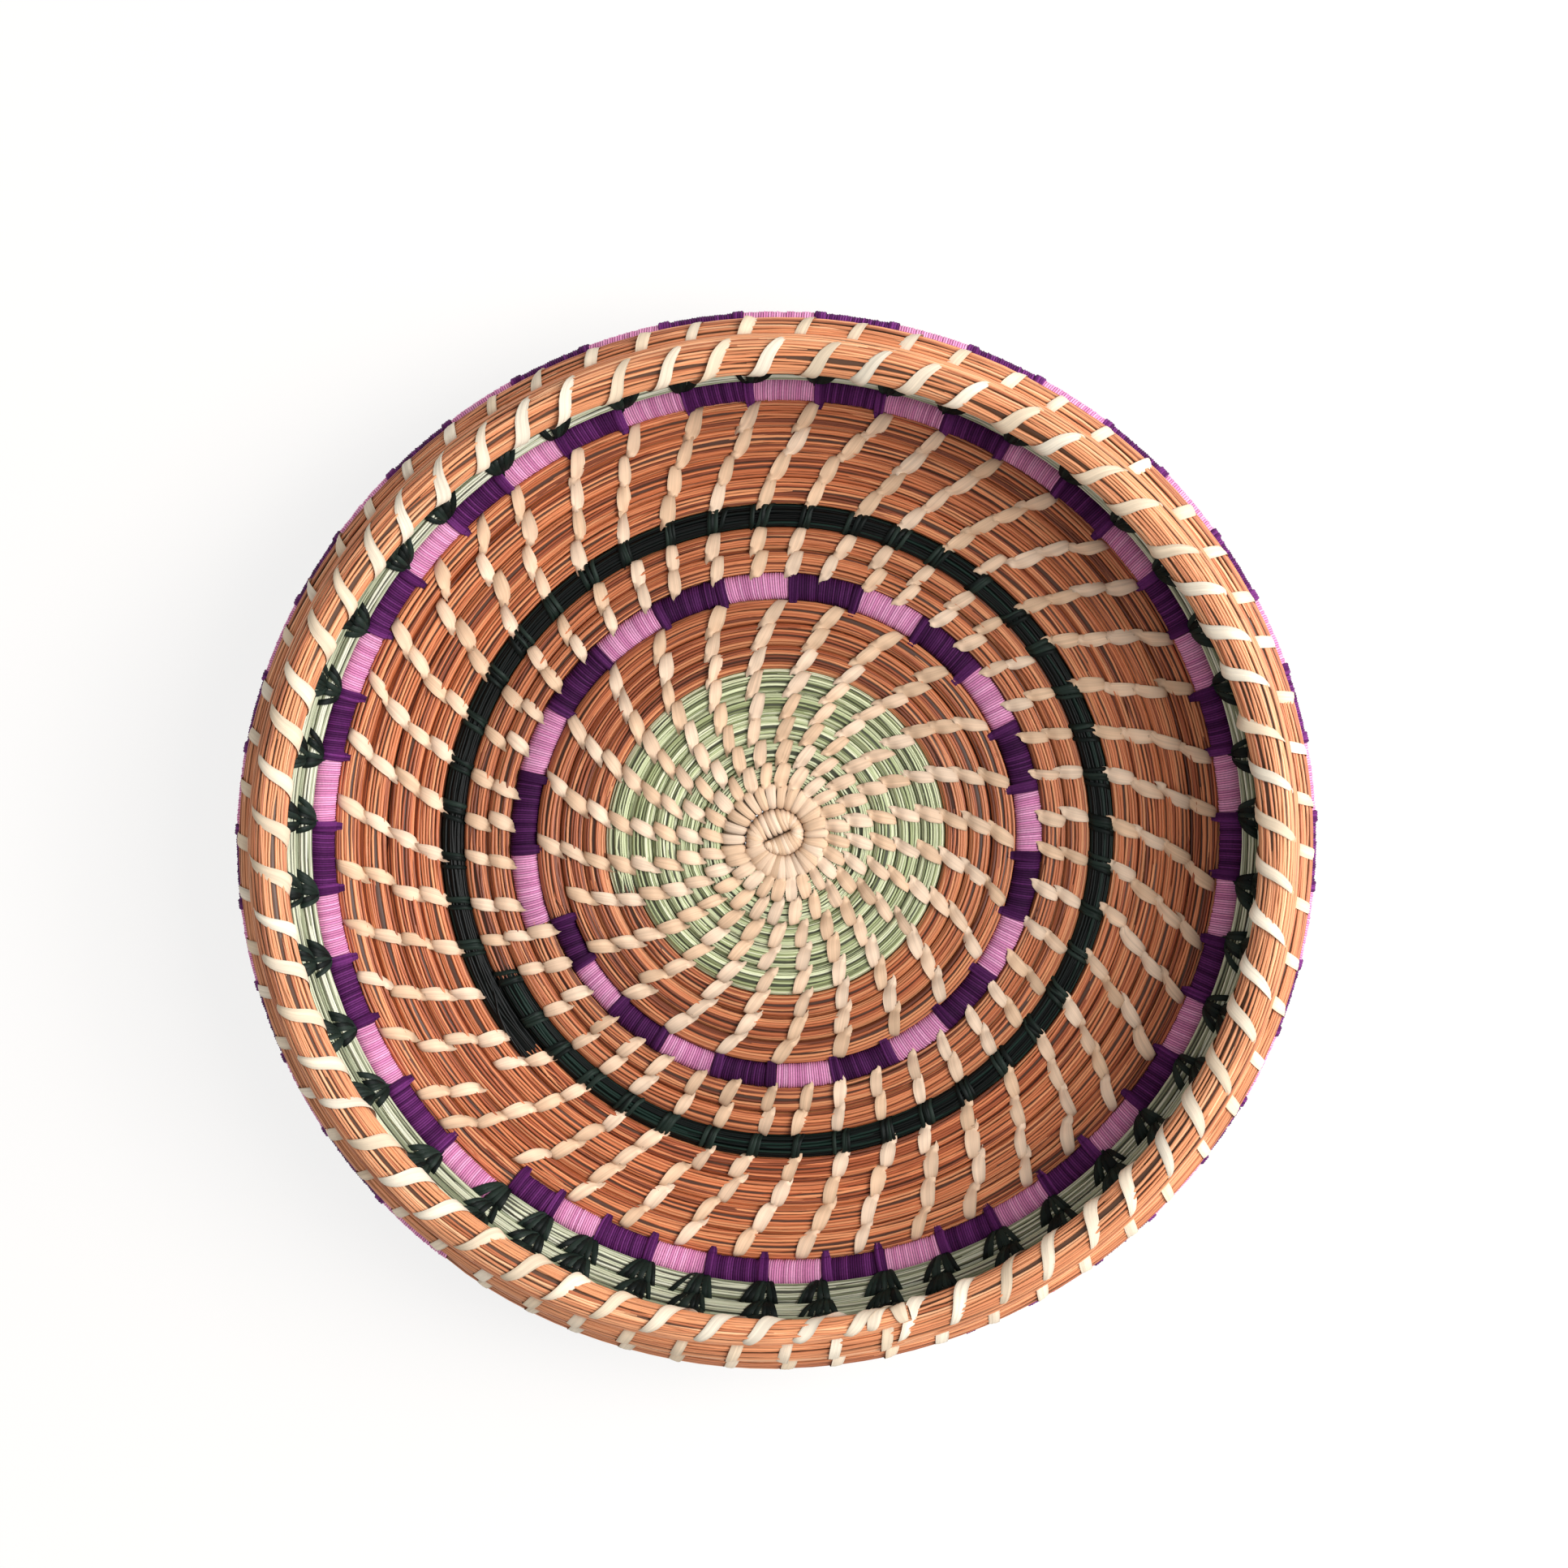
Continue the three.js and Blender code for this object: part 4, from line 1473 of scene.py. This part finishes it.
RING_CORE = {"inset": 0.9, "needle": 0.5, "strays": 0.0, "fray": 0.0}
COILS = (
    NeedleCoil(Zone.SAGE, "sage_centre_coil", SAGE, SAGES, needle=0.3, seed=2),
    NeedleCoil(Zone.BROWN_FLOOR, "brown_floor_coil", BROWN, FLOOR_PAINTED_SHADE_BROWNS, seed=3),
    NeedleCoil(Zone.INNER_RING, "inner_ring_core", BROWN, BROWNS, seed=4, **RING_CORE),
    NeedleCoil(Zone.BROWN_MIDDLE, "brown_middle_coil", BROWN, FLOOR_PAINTED_SHADE_BROWNS, seed=5),
    NeedleCoil(Zone.DARK, "dark_green_coil", DARK_GREEN, TEALS, BLACKS, seed=6),
    NeedleCoil(Zone.SLOPE, "brown_slope_coil", BROWN, SLOPE_PAINTED_LIGHT_BROWNS, seed=7),
    NeedleCoil(Zone.MIDDLE_RING, "middle_ring_core", BROWN, BROWNS, seed=8, **RING_CORE),
    NeedleCoil(Zone.SHOULDER, "sage_shoulder_coil", PALE_SAGE, PALE_SAGES, needle=0.36, seed=9),
    NeedleCoil(Zone.OUTER_RING, "outer_ring_core", BROWN, BROWNS, seed=10, **RING_CORE),
    NeedleCoil(Zone.RIM, "brown_rim_coil", BROWN, RIM_PAINTED_LIGHT_BROWNS, fray=0.0, seed=11),
)
# Painted light: the same threads are darker on the inner ring and brighter on the middle and outer rings.
RINGS = (
    WrappedRing(Zone.INNER_RING, "inner_ring", INNER_PAIRS, purple_painted_light=0.78, pink_painted_light=0.93),
    WrappedRing(Zone.MIDDLE_RING, "middle_ring", OUTER_PAIRS, purple_painted_light=1.5, pink_painted_light=1.12),
    WrappedRing(Zone.OUTER_RING, "outer_ring", OUTER_PAIRS, purple_painted_light=2.0, pink_painted_light=1.2),
)


@dataclass(frozen=True)
class Lamp:
    """A square lamp that faces the basket.

    Attributes:
        name: Name of the lamp.
        place: Where it stands, in metres.
        size: Length of its sides, in metres.
        power: Its power in watts.
    """

    name: str
    place: tuple[float, float, float]
    size: float
    power: float

    def build(self) -> None:
        """Adds the lamp to the scene."""
        data = bpy.data.lights.new(self.name, "AREA")
        data.size = self.size
        data.energy = self.power
        lamp = bpy.data.objects.new(self.name, data)
        lamp.location = self.place
        lamp.rotation_euler = (-Vector(self.place)).to_track_quat("-Z", "Y").to_euler()
        bpy.context.scene.collection.objects.link(lamp)


@dataclass(frozen=True)
class Studio:
    """The floor, the light and the camera.

    Attributes:
        frame_pixels: Width and height of the image.
        pixels_per_mm: Scale of the image at the plane that the basket stands on.
        distance: Distance of the camera from that plane.
        tilt: How many degrees the view leans from straight down.
        tilt_direction: Direction of the lean, in degrees from +Y towards +X.
        axis_pixel: Where the spiral's axis meets the floor in the image.
        sensor: Width of the camera's sensor.
        floor_half: Half the side of the floor, in metres.
        floor_colour: Colour of the floor in the light of the lamps.
        floor_glow: Share of plain white in what the camera and highlights see of the floor.
        white: The colour of the glow and of the light from all round.
        sky: Strength of the light from all round.
        lamps: The lamps.
    """

    frame_pixels: float = 1932.0
    pixels_per_mm: float = 4.67
    distance: float = 1000.0
    tilt: float = 5.7
    tilt_direction: float = 55.5
    axis_pixel: tuple[float, float] = (963.6, 1031.2)
    sensor: float = 36.0
    floor_half: float = 12.0
    floor_colour: tuple[float, ...] = (0.92, 0.86, 0.8, 1.0)
    floor_glow: float = 0.8
    white: tuple[float, ...] = (1.0, 1.0, 1.0, 1.0)
    sky: float = 0.5
    lamps: tuple[Lamp, ...] = (
        Lamp("key", (0.91, 0.08, 1.2), 0.8, 18.6),
        Lamp("side", (1.42, 0.28, 0.78), 1.2, 20.5),
    )

    def build(self) -> None:
        """Makes the floor, the light and the camera."""
        self._floor()
        self._world()
        for lamp in self.lamps:
            lamp.build()
        self._camera()
        bpy.context.scene.view_settings.view_transform = "Standard"

    def _floor(self) -> None:
        """Lays the pale floor under the lowest stitches: nearly white, with part of the shadows left."""
        half = self.floor_half
        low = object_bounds()[0][2]
        mesh = bpy.data.meshes.new("floor")
        corners = [(-half, -half, low), (half, -half, low), (half, half, low), (-half, half, low)]
        mesh.from_pydata(corners, [], [(0, 1, 2, 3)])
        graph = Graph("floor")
        diffuse = graph.node("ShaderNodeBsdfDiffuse", {"Color": self.floor_colour}, "BSDF")
        glow = graph.node("ShaderNodeEmission", {"Color": self.white, "Strength": 1.0})
        rays = ("Is Camera Ray", "Is Glossy Ray", "Is Transmission Ray")
        camera, glossy, through = (graph.node("ShaderNodeLightPath", {}, ray) for ray in rays)
        share = (camera + glossy + through) * self.floor_glow
        mixed = graph.node("ShaderNodeMixShader", {0: share, 1: diffuse, 2: glow})
        graph.node("ShaderNodeOutputMaterial", {"Surface": mixed})
        mesh.materials.append(graph.material)
        floor = bpy.data.objects.new("floor", mesh)
        bpy.context.scene.collection.objects.link(floor)
        floor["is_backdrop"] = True

    def _world(self) -> None:
        """Lights the scene evenly from all round."""
        world = bpy.data.worlds.new("studio")
        world.use_nodes = True
        background = world.node_tree.nodes["Background"]
        background.inputs["Color"].default_value = self.white
        background.inputs["Strength"].default_value = self.sky
        bpy.context.scene.world = world

    def _camera(self) -> None:
        """Sets the camera over the basket, leaning a little from straight down."""
        tilt = math.radians(self.tilt)
        lean = math.radians(self.tilt_direction)
        back = Vector((math.sin(tilt) * math.sin(lean), math.sin(tilt) * math.cos(lean), math.cos(tilt)))
        right = Vector((0.0, 1.0, 0.0)).cross(back).normalized()
        up = back.cross(right)
        target = Vector((*AXIS_PLACE, 0.0)) * MM
        data = bpy.data.cameras.new("camera")
        data.sensor_width = self.sensor
        data.lens = self.sensor * self.distance * self.pixels_per_mm / self.frame_pixels
        data.shift_x = 0.5 - self.axis_pixel[0] / self.frame_pixels
        data.shift_y = self.axis_pixel[1] / self.frame_pixels - 0.5
        camera = bpy.data.objects.new("camera", data)
        camera.matrix_world = Matrix((right, up, back)).transposed().to_4x4()
        camera.location = target + back * self.distance * MM
        bpy.context.scene.collection.objects.link(camera)
        bpy.context.scene.camera = camera


def main() -> None:
    """Builds the pieces in order and then the studio."""
    logging.basicConfig(level=logging.INFO)
    for assembly in (*COILS, *RINGS, RaffiaStart(), Stitching(), FernStitching(), RimLashing(), Studio()):
        assembly.build()


if __name__ == "__main__":
    main()
